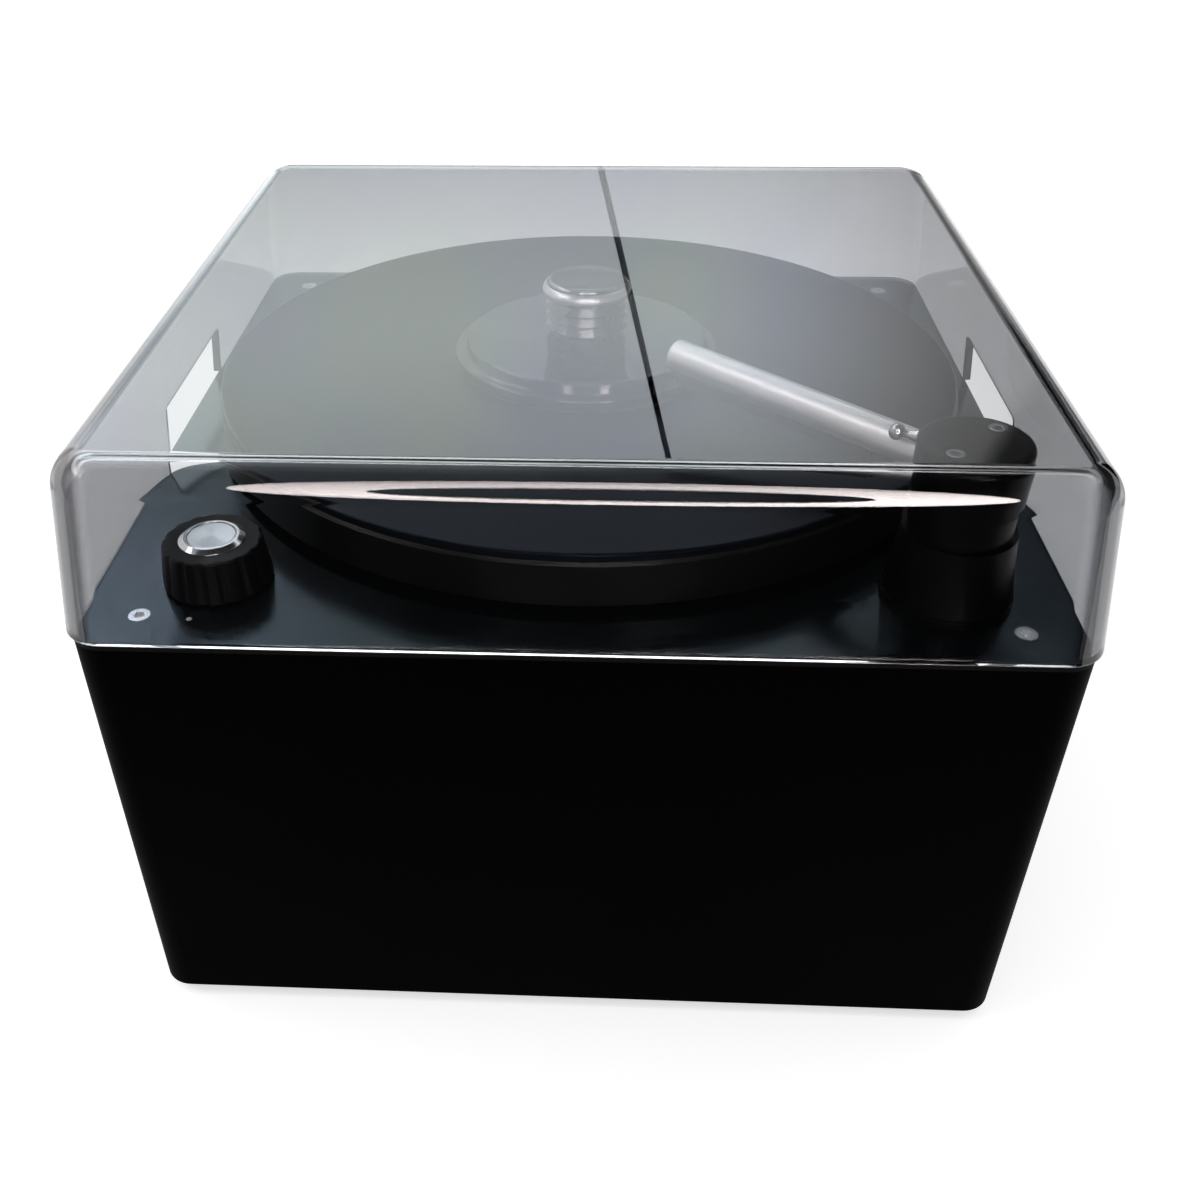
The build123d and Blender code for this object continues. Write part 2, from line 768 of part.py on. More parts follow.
bracket_screw_l = bracket_t + post_tap - screw_end
with BuildPart() as bracket_screws:
    with BuildSketch(Plane.XY.offset(bracket_z - bracket_t)):
        with Locations(*post_spots):
            Circle(m4_head_r)
    extrude(amount=-pan_head_h)
    with BuildSketch(Plane.XY.offset(bracket_z - bracket_t)):
        with Locations(*post_spots):
            Circle(m4_r)
    extrude(amount=bracket_screw_l)
bracket_screws.part.label = "bracket_screws"
export_step(bracket_screws.part, "parts/bracket_screws.step")

# ================================================================== vacuum tower and arm

# Column: flange on the deck, conical body, and a guide tube with a hose nozzle below.
with BuildPart() as tower_column:
    with BuildSketch(upright(tower_x, tower_y, deck_z)):
        with BuildLine():
            Polyline(
                (sleeve_r + run_gap, column_h),
                (column_top_r, column_h),
                (column_foot_r, column_flange_t),
                (column_flange_r, column_flange_t),
                (column_flange_r, 0),
                (column_tube_r, 0),
                (column_tube_r, -column_depth),
                (nozzle_r, -column_depth),
                (nozzle_r, -column_depth - nozzle_l),
                (nozzle_bore_r, -column_depth - nozzle_l),
                (nozzle_bore_r, -well_depth),
                (well_r, -well_depth),
                (well_r, -guide_ledge),
                (guide_r + run_gap, -guide_ledge),
                (guide_r + run_gap, -column_flange_t),
                (sleeve_r + run_gap, -column_flange_t),
                close=True,
            )
        make_face()
    revolve(axis=tower_axis)
tower_column.part.label = "tower_column"
export_step(tower_column.part, "parts/tower_column.step")

with BuildPart() as tower_nut:
    with BuildSketch(Plane.XY.offset(shell_top)):
        with Locations((tower_x, tower_y)):
            RegularPolygon(nut_r, 6, major_radius=False)
            Circle(column_tube_r + slip_gap, mode=Mode.SUBTRACT)
    extrude(amount=-nut_t)
tower_nut.part.label = "tower_nut"
export_step(tower_nut.part, "parts/tower_nut.step")

# Swivel bush: turns with the arm on the ledge and lets its pipe slide.
swivel_z = deck_z - guide_ledge
with BuildPart() as swivel_bush:
    with BuildSketch(Plane.XY.offset(swivel_z)):
        with Locations((tower_x, tower_y)):
            Circle(guide_r)
            Circle(pipe_r + run_gap, mode=Mode.SUBTRACT)
    extrude(amount=swivel_h)
swivel_bush.part.label = "swivel_bush"
export_step(swivel_bush.part, "parts/swivel_bush.step")

# Lifting spring between the swivel bush and the sleeve.
spring_z0 = swivel_z + swivel_h + wire_r
spring_l = deck_z + sleeve_end_h - wire_r - spring_z0
with BuildPart() as arm_spring:
    with BuildLine() as coil:
        Helix(spring_l / coil_turns, spring_l, coil_r, center=(tower_x, tower_y, spring_z0))
    with BuildSketch(Plane(origin=coil.line @ 0, z_dir=coil.line % 0)):
        RegularPolygon(wire_r, wire_sides)
    sweep()
arm_spring.part.label = "arm_spring"
export_step(arm_spring.part, "parts/arm_spring.step")

# Sleeve: the piston of the arm, with the air pipe that runs down through the bush.
with BuildPart() as arm_sleeve:
    with BuildSketch(upright(tower_x, tower_y, deck_z)):
        with BuildLine():
            Polyline(
                (pipe_bore_r, -pipe_depth),
                (pipe_stop_r, -pipe_depth),
                (pipe_stop_r, -guide_ledge - free_gap),
                (pipe_r, -guide_ledge - free_gap),
                (pipe_r, sleeve_end_h),
                (sleeve_r, sleeve_end_h),
                (sleeve_r, head_bottom_h),
                (pipe_bore_r, head_bottom_h),
                close=True,
            )
        make_face()
    revolve(axis=tower_axis)
arm_sleeve.part.label = "arm_sleeve"
export_step(arm_sleeve.part, "parts/arm_sleeve.step")

# The head is split level with the arm's axis, and its two halves grip the tube.
with BuildPart() as head_block:
    with BuildSketch(tower_level(head_bottom_h)):
        Circle(head_r)
    extrude(amount=arm_h - head_bottom_h)
    with BuildSketch(tower_level(head_bottom_h)):
        Circle(head_bore_r)
        with GridLocations(1, 2 * head_screw_r, 1, 2):
            Circle(m3_hole_r)
    extrude(amount=arm_h - head_bottom_h, mode=Mode.SUBTRACT)
    with BuildSketch(arm_end):
        Circle(arm_r + slip_gap)
    extrude(amount=2 * head_r, mode=Mode.SUBTRACT)
head_block.part.label = "head_block"
export_step(head_block.part, "parts/head_block.step")

with BuildPart() as head_cap:
    with BuildSketch(tower_level(arm_h)):
        Circle(head_r)
    extrude(amount=head_top_h - arm_h)
    fillet(head_cap.edges().group_by(Axis.Z)[-1], head_edge_r)
    with BuildSketch(tower_level(arm_h)):
        Circle(head_bore_r)
    extrude(amount=head_top_h - arm_h - head_roof_t, mode=Mode.SUBTRACT)
    with BuildSketch(arm_end):
        Circle(arm_r + slip_gap)
    extrude(amount=2 * head_r, mode=Mode.SUBTRACT)
    with BuildSketch(finger_root):
        Circle(finger_r + slip_gap)
    extrude(amount=2 * finger_root_l, mode=Mode.SUBTRACT)
    with Locations(tower_level(head_top_h)):
        with GridLocations(1, 2 * head_screw_r, 1, 2):
            CounterSinkHole(m3_hole_r, m3_head_r + slip_gap, depth=head_top_h - arm_h)
head_cap.part.label = "head_cap"
export_step(head_cap.part, "parts/head_cap.step")

with BuildPart() as head_screws:
    with Locations(tower_level(head_top_h - screw_sink)):
        with GridLocations(1, 2 * head_screw_r, 1, 2):
            countersunk_screw(m3_r, m3_head_r, head_screw_l)
head_screws.part.label = "head_screws"
export_step(head_screws.part, "parts/head_screws.step")

# Arm tube: drawn aluminium with a long suction slot underneath.
arm_start = head_bore_r + free_gap
slot_l = slot_end - slot_start
slot_mid = (slot_start + slot_end) / 2
with BuildPart() as arm_tube:
    with BuildSketch(arm_end.offset(arm_start)):
        Circle(arm_r)
        Circle(arm_bore_r, mode=Mode.SUBTRACT)
    extrude(amount=arm_reach - arm_start)
    with BuildSketch(arm_top):
        with Locations((slot_mid, 0)):
            Rectangle(slot_l, slot_w)
    extrude(amount=-arm_r, mode=Mode.SUBTRACT)
arm_tube.part.label = "arm_tube"
export_step(arm_tube.part, "parts/arm_tube.step")

plug_face_t = 1.0
plug_edge_r = 0.8
with BuildPart() as arm_plug:
    with BuildSketch(arm_end.offset(arm_reach)):
        Circle(arm_r)
    extrude(amount=plug_face_t)
    fillet(arm_plug.faces().sort_by(Axis((0, 0, 0), arm_dir))[-1].edges(), plug_edge_r)
    with BuildSketch(arm_end.offset(arm_reach)):
        Circle(arm_bore_r - slip_gap)
    extrude(amount=-(plug_l - lip_end - free_gap))
arm_plug.part.label = "arm_plug"
export_step(arm_plug.part, "parts/arm_plug.step")

# Two soft lips beside the slot, shaped to the underside of the tube.
with BuildPart() as suction_lips:
    with BuildSketch(arm_top.offset(-arm_r - lip_drop)):
        with Locations((slot_mid, 0)):
            with GridLocations(1, slot_w + lip_w, 1, 2):
                Rectangle(slot_l + 2 * lip_end, lip_w)
    extrude(amount=lip_drop + arm_r / 2)
    with BuildSketch(arm_end):
        Circle(arm_r)
    extrude(amount=arm_reach, mode=Mode.SUBTRACT)
suction_lips.part.label = "suction_lips"
export_step(suction_lips.part, "parts/suction_lips.step")

# Ball-headed pin in the side of the head, by which the arm is swung and lifted.
low = (Align.CENTER, Align.CENTER, Align.MIN)
with BuildPart() as finger_pin:
    with Locations(finger_root):
        Cylinder(finger_r, finger_reach - head_r + finger_root_l, align=low)
    with Locations(finger_root.offset(finger_root_l + slip_gap)):
        Cone(finger_collar_r, finger_r, finger_collar_l, align=low)
    with Locations(finger_root.offset(finger_reach - head_r + finger_root_l)):
        Sphere(finger_ball_r)
finger_pin.part.label = "finger_pin"
export_step(finger_pin.part, "parts/finger_pin.step")

# ================================================================== control knob

# Rotary switch under the top plate; its threaded bush comes up through the plate.
with BuildPart() as selector_switch:
    with BuildSketch(Plane.XY.offset(shell_top)):
        with Locations((knob_x, knob_y)):
            Circle(switch_r)
    extrude(amount=-switch_h)
    with BuildSketch(Plane.XY.offset(shell_top)):
        with Locations((knob_x, knob_y)):
            Circle(switch_bush_r)
    extrude(amount=plate_t + switch_bush_h)
    with BuildSketch(Plane.XY.offset(shell_top - switch_h / 2)):
        with Locations((knob_x, knob_y)):
            Circle(switch_shaft_r + run_gap)
    extrude(amount=switch_h + plate_t + switch_bush_h, mode=Mode.SUBTRACT)
selector_switch.part.label = "selector_switch"
export_step(selector_switch.part, "parts/selector_switch.step")

with BuildPart() as switch_nut:
    with BuildSketch(Plane.XY.offset(deck_z)):
        with Locations((knob_x, knob_y)):
            RegularPolygon(switch_nut_r, 6, major_radius=False)
            Circle(switch_bush_r + slip_gap, mode=Mode.SUBTRACT)
    extrude(amount=switch_nut_t)
switch_nut.part.label = "switch_nut"
export_step(switch_nut.part, "parts/switch_nut.step")

# Hollow shaft of the switch; the button's wires run through it.
shaft_foot_z = shell_top - switch_h / 2 + free_gap
with BuildPart() as knob_shaft:
    with BuildSketch(Plane.XY.offset(shaft_foot_z)):
        with Locations((knob_x, knob_y)):
            Circle(switch_shaft_r)
            Circle(wire_hole_r, mode=Mode.SUBTRACT)
    extrude(amount=pocket_z - shaft_foot_z)
knob_shaft.part.label = "knob_shaft"
export_step(knob_shaft.part, "parts/knob_shaft.step")

# Moulded knob: leaning sides with finger flutes, hollow below, a pocket for the button above.
knob_lean = degrees(atan2(knob_foot_r - knob_top_r, knob_h))
knob_edge_r = 1.0
with BuildPart() as control_knob:
    with BuildSketch(Plane.XY.offset(knob_z)):
        with Locations((knob_x, knob_y)):
            Circle(knob_foot_r)
    extrude(amount=knob_h, taper=knob_lean)
    fillet(control_knob.edges().group_by(Axis.Z)[-1], knob_edge_r)
    fillet(control_knob.edges().group_by(Axis.Z)[0], knob_edge_r)
    with Locations((knob_x, knob_y, knob_z)):
        with PolarLocations(0, knob_flutes):
            with Locations(Location((knob_foot_r + flute_r - flute_cut, 0, 0), (0, -knob_lean, 0))):
                Cylinder(flute_r, 3 * knob_h, mode=Mode.SUBTRACT)
    with BuildSketch(Plane.XY.offset(knob_z)):
        with Locations((knob_x, knob_y)):
            Circle(knob_foot_r - knob_skirt_t)
    extrude(amount=knob_skirt_h, mode=Mode.SUBTRACT)
    with BuildSketch(Plane.XY.offset(pocket_z)):
        with Locations((knob_x, knob_y)):
            Circle(bezel_barrel_r + slip_gap)
    extrude(amount=knob_h, mode=Mode.SUBTRACT)
    with BuildSketch(Plane.XY.offset(knob_z)):
        with Locations((knob_x, knob_y)):
            Circle(switch_shaft_r)
    extrude(amount=knob_h, mode=Mode.SUBTRACT)
control_knob.part.label = "control_knob"
export_step(control_knob.part, "parts/control_knob.step")

# Metal bezel of the button: a bevelled ring over a barrel that drops into the knob.
button_bore_r = button_r + button_gap
with BuildPart() as button_bezel:
    with BuildSketch(upright(knob_x, knob_y, pocket_z)):
        with BuildLine():
            Polyline(
                (wire_hole_r, 0),
                (bezel_barrel_r, 0),
                (bezel_barrel_r, knob_top - pocket_z),
                (bezel_foot_r, knob_top - pocket_z),
                (bezel_foot_r, knob_top - pocket_z + free_gap),
                (bezel_top_r, knob_top - pocket_z + bezel_h),
                (button_bore_r, knob_top - pocket_z + bezel_h),
                (button_bore_r, bezel_floor_t),
                (wire_hole_r, bezel_floor_t),
                close=True,
            )
        make_face()
    revolve(axis=Axis((knob_x, knob_y, 0), (0, 0, 1)))
button_bezel.part.label = "button_bezel"
export_step(button_bezel.part, "parts/button_bezel.step")

button_edge = 0.3
with BuildPart() as push_button:
    with BuildSketch(Plane.XY.offset(knob_top + bezel_h - button_sink)):
        with Locations((knob_x, knob_y)):
            Circle(button_r)
    extrude(amount=-button_h)
    chamfer(push_button.edges().group_by(Axis.Z)[-1], button_edge)
push_button.part.label = "push_button"
export_step(push_button.part, "parts/push_button.step")

# ================================================================== record clamp

# Base: a stepped disc that covers the label, its top rising gently to the grip.
rim_edge = 1.4
with BuildPart() as clamp_base:
    with BuildSketch(upright(0, platter_y, mat_z)):
        with BuildLine():
            Polyline(
                (insert_r + slip_gap, clamp_seal_t),
                (clamp_r - rim_edge, clamp_seal_t),
                (clamp_r, clamp_seal_t + rim_edge),
                (clamp_r, clamp_rim_h - rim_edge),
                (clamp_r - rim_edge, clamp_rim_h),
                (clamp_step_r, clamp_rim_h),
                (clamp_shoulder_r, clamp_shoulder_h),
            )
            ThreePointArc(
                (clamp_shoulder_r, clamp_shoulder_h),
                ((clamp_shoulder_r + clamp_seat_r) / 2, (clamp_shoulder_h + clamp_seat_h) / 2 - 0.3),
                (clamp_seat_r, clamp_seat_h),
            )
            Polyline(
                (clamp_seat_r, clamp_seat_h),
                (insert_r + slip_gap, clamp_seat_h),
                (insert_r + slip_gap, clamp_seal_t),
            )
        make_face()
    revolve(axis=spindle_axis)
clamp_base.part.label = "clamp_base"
export_step(clamp_base.part, "parts/clamp_base.step")

with BuildPart() as clamp_seal:
    with BuildSketch(Plane.XY.offset(mat_z)):
        with Locations((0, platter_y)):
            Circle(clamp_seal_r)
            Circle(clamp_seal_bore_r, mode=Mode.SUBTRACT)
    extrude(amount=clamp_seal_t)
clamp_seal.part.label = "clamp_seal"
export_step(clamp_seal.part, "parts/clamp_seal.step")

# Grip: waisted foot, a barrel with three ribs, and a bulged collar round the badge.
collar_foot_h = grip_foot_h + grip_ribs * grip_rib_pitch
badge_seat_h = grip_h - badge_seat_t
rib_points = [(grip_rib_r - grip_groove, grip_foot_h)]
for i in range(grip_ribs):
    rib_low = grip_foot_h + i * grip_rib_pitch
    rib_points += [
        (grip_rib_r, rib_low + grip_groove),
        (grip_rib_r, rib_low + grip_rib_pitch - grip_groove),
        (grip_rib_r - grip_groove, rib_low + grip_rib_pitch),
    ]
with BuildPart() as clamp_grip:
    with BuildSketch(upright(0, platter_y, mat_z)):
        with BuildLine():
            Polyline(
                (pin_r + 2 * free_gap, insert_top_h),
                (pin_r + 2 * free_gap, grip_bore_h),
                (0, grip_bore_h),
                (0, badge_seat_h),
                (badge_r + slip_gap, badge_seat_h),
                (badge_r + slip_gap, grip_h),
            )
            ThreePointArc(
                (badge_r + slip_gap, grip_h),
                (grip_collar_r, (grip_h + collar_foot_h) / 2),
                rib_points[-1],
            )
            Polyline(*reversed(rib_points))
            ThreePointArc(
                rib_points[0],
                (grip_neck_r, (grip_foot_h + clamp_seat_h) / 2),
                (grip_neck_r + 0.5, clamp_seat_h),
            )
            Polyline(
                (grip_neck_r + 0.5, clamp_seat_h),
                (insert_r + slip_gap, clamp_seat_h),
                (insert_r + slip_gap, insert_top_h),
                (pin_r + 2 * free_gap, insert_top_h),
            )
        make_face()
    revolve(axis=spindle_axis)
clamp_grip.part.label = "clamp_grip"
export_step(clamp_grip.part, "parts/clamp_grip.step")

# Plain domed badge; its face is left bare.
with BuildPart() as clamp_badge:
    with BuildSketch(upright(0, platter_y, mat_z)):
        with BuildLine():
            Polyline(
                (0, badge_h),
                (0, badge_seat_h),
                (badge_r, badge_seat_h),
                (badge_r, badge_seat_h + badge_edge_t),
            )
            TangentArc((0, badge_h), (badge_r, badge_seat_h + badge_edge_t), tangent=(1, 0))
        make_face()
    revolve(axis=spindle_axis)
clamp_badge.part.label = "clamp_badge"
export_step(clamp_badge.part, "parts/clamp_badge.step")

# Threaded brass insert that joins base and grip and screws on to the record pin.
with BuildPart() as clamp_insert:
    with BuildSketch(Plane.XY.offset(mat_z + clamp_seal_t)):
        with Locations((0, platter_y)):
            Circle(insert_r)
            Circle(pin_r + run_gap, mode=Mode.SUBTRACT)
    extrude(amount=insert_top_h - clamp_seal_t)
clamp_insert.part.label = "clamp_insert"
export_step(clamp_insert.part, "parts/clamp_insert.step")

# ================================================================== dust cover

cover_w = body_w + 2 * cover_overhang
cover_d = body_d + 2 * cover_overhang


def cover_form(inset, height, corner, edge):
    """Solid with leaning sides and a rounded top edge, inset from the cover's outside."""
    with BuildPart() as form:
        with BuildSketch(Plane.XY.offset(deck_z)):
            RectangleRounded(cover_w - 2 * inset, cover_d - 2 * inset, corner)
        with BuildSketch(Plane.XY.offset(deck_z + height)):
            lean = cover_draft * height / cover_h
            RectangleRounded(cover_w - 2 * inset - 2 * lean, cover_d - 2 * inset - 2 * lean, corner)
        loft(ruled=True)
        fillet(form.faces().sort_by(Axis.Z)[-1].edges(), edge)
    return form.part


with BuildPart() as dust_cover:
    add(cover_form(0, cover_h, cover_corner_r, cover_edge_r))
    add(
        cover_form(cover_t, cover_h - cover_t, cover_corner_r - cover_t, cover_edge_r - cover_t),
        mode=Mode.SUBTRACT,
    )
    with BuildSketch(Plane.YZ.offset(-cover_w)):
        with Locations((0, deck_z)):
            RectangleRounded(notch_w, 2 * notch_h, notch_r)
    extrude(amount=2 * cover_w, mode=Mode.SUBTRACT)
dust_cover.part.label = "dust_cover"
export_step(dust_cover.part, "parts/dust_cover.step")

# ================================================================== vacuum and waste

with BuildPart() as motor_mount:
    with BuildSketch(Plane.XY.offset(floor_z)):
        with Locations((vac_x, vac_y)):
            Circle(vac_mount_r)
            Circle(vac_mount_bore_r, mode=Mode.SUBTRACT)
    extrude(amount=vac_can_z - floor_z)
motor_mount.part.label = "motor_mount"
export_step(motor_mount.part, "parts/motor_mount.step")

# Vacuum motor: motor can below, fan housing with its nozzle, cooling cap above.
vac_edge = 4.0
with BuildPart() as vacuum_motor:
    with BuildSketch(upright(vac_x, vac_y, vac_can_z)):
        with BuildLine():
            Polyline(
                (0, 0),
                (vac_can_r, 0),
                (vac_can_r, vac_can_h),
                (vac_fan_r - vac_edge, vac_can_h),
                (vac_fan_r, vac_can_h + vac_edge),
                (vac_fan_r, vac_can_h + vac_fan_h - vac_edge),
                (vac_fan_r - vac_edge, vac_can_h + vac_fan_h),
                (vac_top_r, vac_can_h + vac_fan_h),
                (vac_top_r, vac_can_h + vac_fan_h + vac_top_h - vac_edge),
                (vac_top_r - vac_edge, vac_can_h + vac_fan_h + vac_top_h),
                (0, vac_can_h + vac_fan_h + vac_top_h),
                close=True,
            )
        make_face()
    revolve(axis=vac_axis)
    with BuildSketch(Plane.YZ.offset(vac_x + vac_fan_r - vac_edge)):
        with Locations((vac_y, hose_z)):
            Circle(nozzle_r)
    extrude(amount=vac_edge + vac_nozzle_l)
    with BuildSketch(Plane.YZ.offset(vac_x + vac_fan_r - vac_edge)):
        with Locations((vac_y, hose_z)):
            Circle(nozzle_bore_r)
    extrude(amount=vac_edge + vac_nozzle_l, mode=Mode.SUBTRACT)
vacuum_motor.part.label = "vacuum_motor"
export_step(vacuum_motor.part, "parts/vacuum_motor.step")

# Waste tank: moulded box on four legs, a rim for the lid, nozzles in front and on the left.
rim_z = tank_top - tank_rim_t
with BuildPart() as waste_tank:
    with BuildSketch(Plane.XY.offset(tank_z)):
        with Locations((tank_mid_x, tank_mid_y)):
            RectangleRounded(tank_w - 2 * tank_rim_w, tank_d - 2 * tank_rim_w, tank_r)
    extrude(amount=tank_h)
    with BuildSketch(Plane.XY.offset(rim_z)):
        with Locations((tank_mid_x, tank_mid_y)):
            RectangleRounded(tank_w, tank_d, tank_r)
    extrude(amount=tank_rim_t)
    with BuildSketch(Plane.XY.offset(floor_z)):
        with Locations((tank_mid_x, tank_mid_y)):
            with GridLocations(
                tank_w - 2 * tank_rim_w - 2 * tank_leg_inset,
                tank_d - 2 * tank_rim_w - 2 * tank_leg_inset,
                2,
                2,
            ):
                Circle(tank_leg_r)
    extrude(amount=tank_leg_h)
    with BuildSketch(Plane.XZ.offset(-tank_y0 - tank_rim_w)):
        with Locations((tower_x, hose_z)):
            Circle(nozzle_r)
    extrude(amount=nozzle_l)
    with BuildSketch(Plane.YZ.offset(tank_x0 + tank_rim_w)):
        with Locations((vac_y, hose_z)):
            Circle(nozzle_r)
    extrude(amount=-nozzle_l)
    with BuildSketch(Plane.XY.offset(tank_z + tank_wall)):
        with Locations((tank_mid_x, tank_mid_y)):
            RectangleRounded(
                tank_w - 2 * tank_rim_w - 2 * tank_wall,
                tank_d - 2 * tank_rim_w - 2 * tank_wall,
                tank_r - tank_wall,
            )
    extrude(amount=tank_h, mode=Mode.SUBTRACT)
    with BuildSketch(Plane.XZ.offset(-tank_y0 - tank_rim_w - 2 * tank_wall)):
        with Locations((tower_x, hose_z)):
            Circle(nozzle_bore_r)
    extrude(amount=nozzle_l + 2 * tank_wall, mode=Mode.SUBTRACT)
    with BuildSketch(Plane.YZ.offset(tank_x0 + tank_rim_w + 2 * tank_wall)):
        with Locations((vac_y, hose_z)):
            Circle(nozzle_bore_r)
    extrude(amount=-nozzle_l - 2 * tank_wall, mode=Mode.SUBTRACT)
    with BuildSketch(rear.offset(-(body_d / 2 - tank_y1 + tank_rim_w + 2 * tank_wall))):
        with Locations((-drain_x, drain_z - drain_spigot_drop)):
            Circle(drain_bore_r)
    extrude(amount=3 * tank_wall, mode=Mode.SUBTRACT)
    with BuildSketch(Plane.XY.offset(rim_z)):
        with Locations((tank_mid_x, tank_mid_y)):
            with GridLocations(tank_w / 2, tank_d - tank_rim_w, 2, 2):
                Circle(m3_hole_r)
    extrude(amount=tank_rim_t, mode=Mode.SUBTRACT)
waste_tank.part.label = "waste_tank"
export_step(waste_tank.part, "parts/waste_tank.step")

with BuildPart() as tank_lid:
    with BuildSketch(Plane.XY.offset(tank_top)):
        with Locations((tank_mid_x, tank_mid_y)):
            RectangleRounded(tank_w, tank_d, tank_r)
            with GridLocations(tank_w / 2, tank_d - tank_rim_w, 2, 2):
                Circle(m3_hole_r, mode=Mode.SUBTRACT)
    extrude(amount=lid_t)
tank_lid.part.label = "tank_lid"
export_step(tank_lid.part, "parts/tank_lid.step")

tank_screw_l = lid_t + tank_rim_t
with BuildPart() as tank_screws:
    with Locations((tank_mid_x, tank_mid_y, tank_top + lid_t)):
        with GridLocations(tank_w / 2, tank_d - tank_rim_w, 2, 2):
            pan_screw(m3_r, m3_head_r, tank_screw_l)
tank_screws.part.label = "tank_screws"
export_step(tank_screws.part, "parts/tank_screws.step")

# Suction hose: down from the tower in one wide bend to the front of the tank.
tank_front_y = tank_y0 + tank_rim_w - free_gap
hose_top_z = deck_z - column_depth - free_gap
with BuildPart() as suction_hose:
    with BuildLine() as hose_path:
        FilletPolyline(
            (tower_x, tower_y, hose_top_z),
            (tower_x, tower_y, hose_z),
            (tower_x, tank_front_y, hose_z),
            radius=hose_bend_r,
        )
    with BuildSketch(Plane.XY.offset(hose_top_z)):
        with Locations((tower_x, tower_y)):
            Circle(hose_r)
            Circle(hose_bore_r, mode=Mode.SUBTRACT)
    sweep(path=hose_path.line)
suction_hose.part.label = "suction_hose"
export_step(suction_hose.part, "parts/suction_hose.step")

# Transfer hose: straight from the tank to the fan housing.
transfer_x0 = vac_x + vac_fan_r + free_gap
transfer_x1 = tank_x0 + tank_rim_w - free_gap
with BuildPart() as transfer_hose:
    with BuildSketch(Plane.YZ.offset(transfer_x0)):
        with Locations((vac_y, hose_z)):
            Circle(hose_r)
            Circle(hose_bore_r, mode=Mode.SUBTRACT)
    extrude(amount=transfer_x1 - transfer_x0)
transfer_hose.part.label = "transfer_hose"
export_step(transfer_hose.part, "parts/transfer_hose.step")

# Hose clips: a band and its screw block at each of the four hose ends.
clip_setback = 6.0
clip_planes = [
    Plane(origin=(tower_x, tower_y, hose_top_z - clip_setback), z_dir=(0, 0, -1)),
    Plane(origin=(tower_x, tank_front_y - clip_setback, hose_z), z_dir=(0, -1, 0)),
    Plane(origin=(transfer_x0 + clip_setback, vac_y, hose_z), z_dir=(1, 0, 0)),
    Plane(origin=(transfer_x1 - clip_setback, vac_y, hose_z), z_dir=(-1, 0, 0)),
]
clip_bore_r = hose_r + run_gap
with BuildPart() as hose_clips:
    with BuildSketch(*clip_planes):
        Circle(clip_bore_r + clip_t)
        with Locations((0, clip_bore_r + clip_block_h / 2)):
            Rectangle(clip_block_l, clip_block_h)
        Circle(clip_bore_r, mode=Mode.SUBTRACT)
    extrude(amount=clip_w)
hose_clips.part.label = "hose_clips"
export_step(hose_clips.part, "parts/hose_clips.step")

# ================================================================== rear wall

# Drain cup: a moulded pocket with the drain spigot off its centre.
spigot_z = drain_z - drain_spigot_drop
spigot_start = body_d / 2 - tank_y1 + tank_rim_w
with BuildPart() as drain_cup:
    with BuildSketch(rear):
        with Locations((-drain_x, drain_z)):
            Circle(drain_flange_r)
    extrude(amount=drain_cup_t)
    with BuildSketch(rear):
        with Locations((-drain_x, drain_z)):
            Circle(drain_cup_r)
    extrude(amount=-drain_depth - drain_cup_t)
    with BuildSketch(rear.offset(-drain_depth)):
        with Locations((-drain_x, drain_z)):
            Circle(drain_cup_r - drain_cup_t)
    extrude(amount=drain_depth + drain_cup_t, mode=Mode.SUBTRACT)
    with BuildSketch(rear.offset(-spigot_start)):
        with Locations((-drain_x, spigot_z)):
            Circle(drain_spigot_r)
    extrude(amount=spigot_start - drain_depth + drain_spigot_l)
    with BuildSketch(rear.offset(-spigot_start)):
        with Locations((-drain_x, spigot_z)):
            Circle(drain_bore_r)
    extrude(amount=spigot_start, mode=Mode.SUBTRACT)
drain_cup.part.label = "drain_cup"
export_step(drain_cup.part, "parts/drain_cup.step")

# Rubber plug that pulls straight off the spigot.
spigot_tip = drain_depth - drain_spigot_l
plug_flutes = 12
plug_flute_r = 1.0
with BuildPart() as drain_plug:
    with BuildSketch(rear.offset(-spigot_tip + plug_cap_t)):
        with Locations((-drain_x, spigot_z)):
            Circle(plug_r)
            with PolarLocations(plug_r + plug_flute_r / 2, plug_flutes):
                Circle(plug_flute_r, mode=Mode.SUBTRACT)
    extrude(amount=-plug_grip_l)
    with BuildSketch(rear.offset(-spigot_tip)):
        with Locations((-drain_x, spigot_z)):
            Circle(drain_spigot_r + run_gap)
    extrude(amount=-plug_grip_l, mode=Mode.SUBTRACT)
drain_plug.part.label = "drain_plug"
export_step(drain_plug.part, "parts/drain_plug.step")

# Mains inlet: screwed flange, and a socket with three blades.
with BuildPart() as mains_inlet:
    with BuildSketch(rear):
        with Locations((-inlet_x, inlet_z)):
            RectangleRounded(inlet_flange_w, inlet_flange_h, socket_r)
    extrude(amount=inlet_flange_t)
    with BuildSketch(rear):
        with Locations((-inlet_x, inlet_z)):
            Rectangle(inlet_w, inlet_h)
    extrude(amount=-inlet_depth)
    with BuildSketch(rear.offset(inlet_flange_t - socket_depth)):
        with Locations((-inlet_x, inlet_z)):
            RectangleRounded(socket_w, socket_h, socket_r)
    extrude(amount=socket_depth, mode=Mode.SUBTRACT)
    with Locations(rear.offset(inlet_flange_t)):
        with Locations((-inlet_x, inlet_z)):
            with GridLocations(2 * inlet_screw_x, 1, 2, 1):
                CounterSinkHole(m3_hole_r, m3_head_r + slip_gap, depth=inlet_flange_t)
mains_inlet.part.label = "mains_inlet"
export_step(mains_inlet.part, "parts/mains_inlet.step")

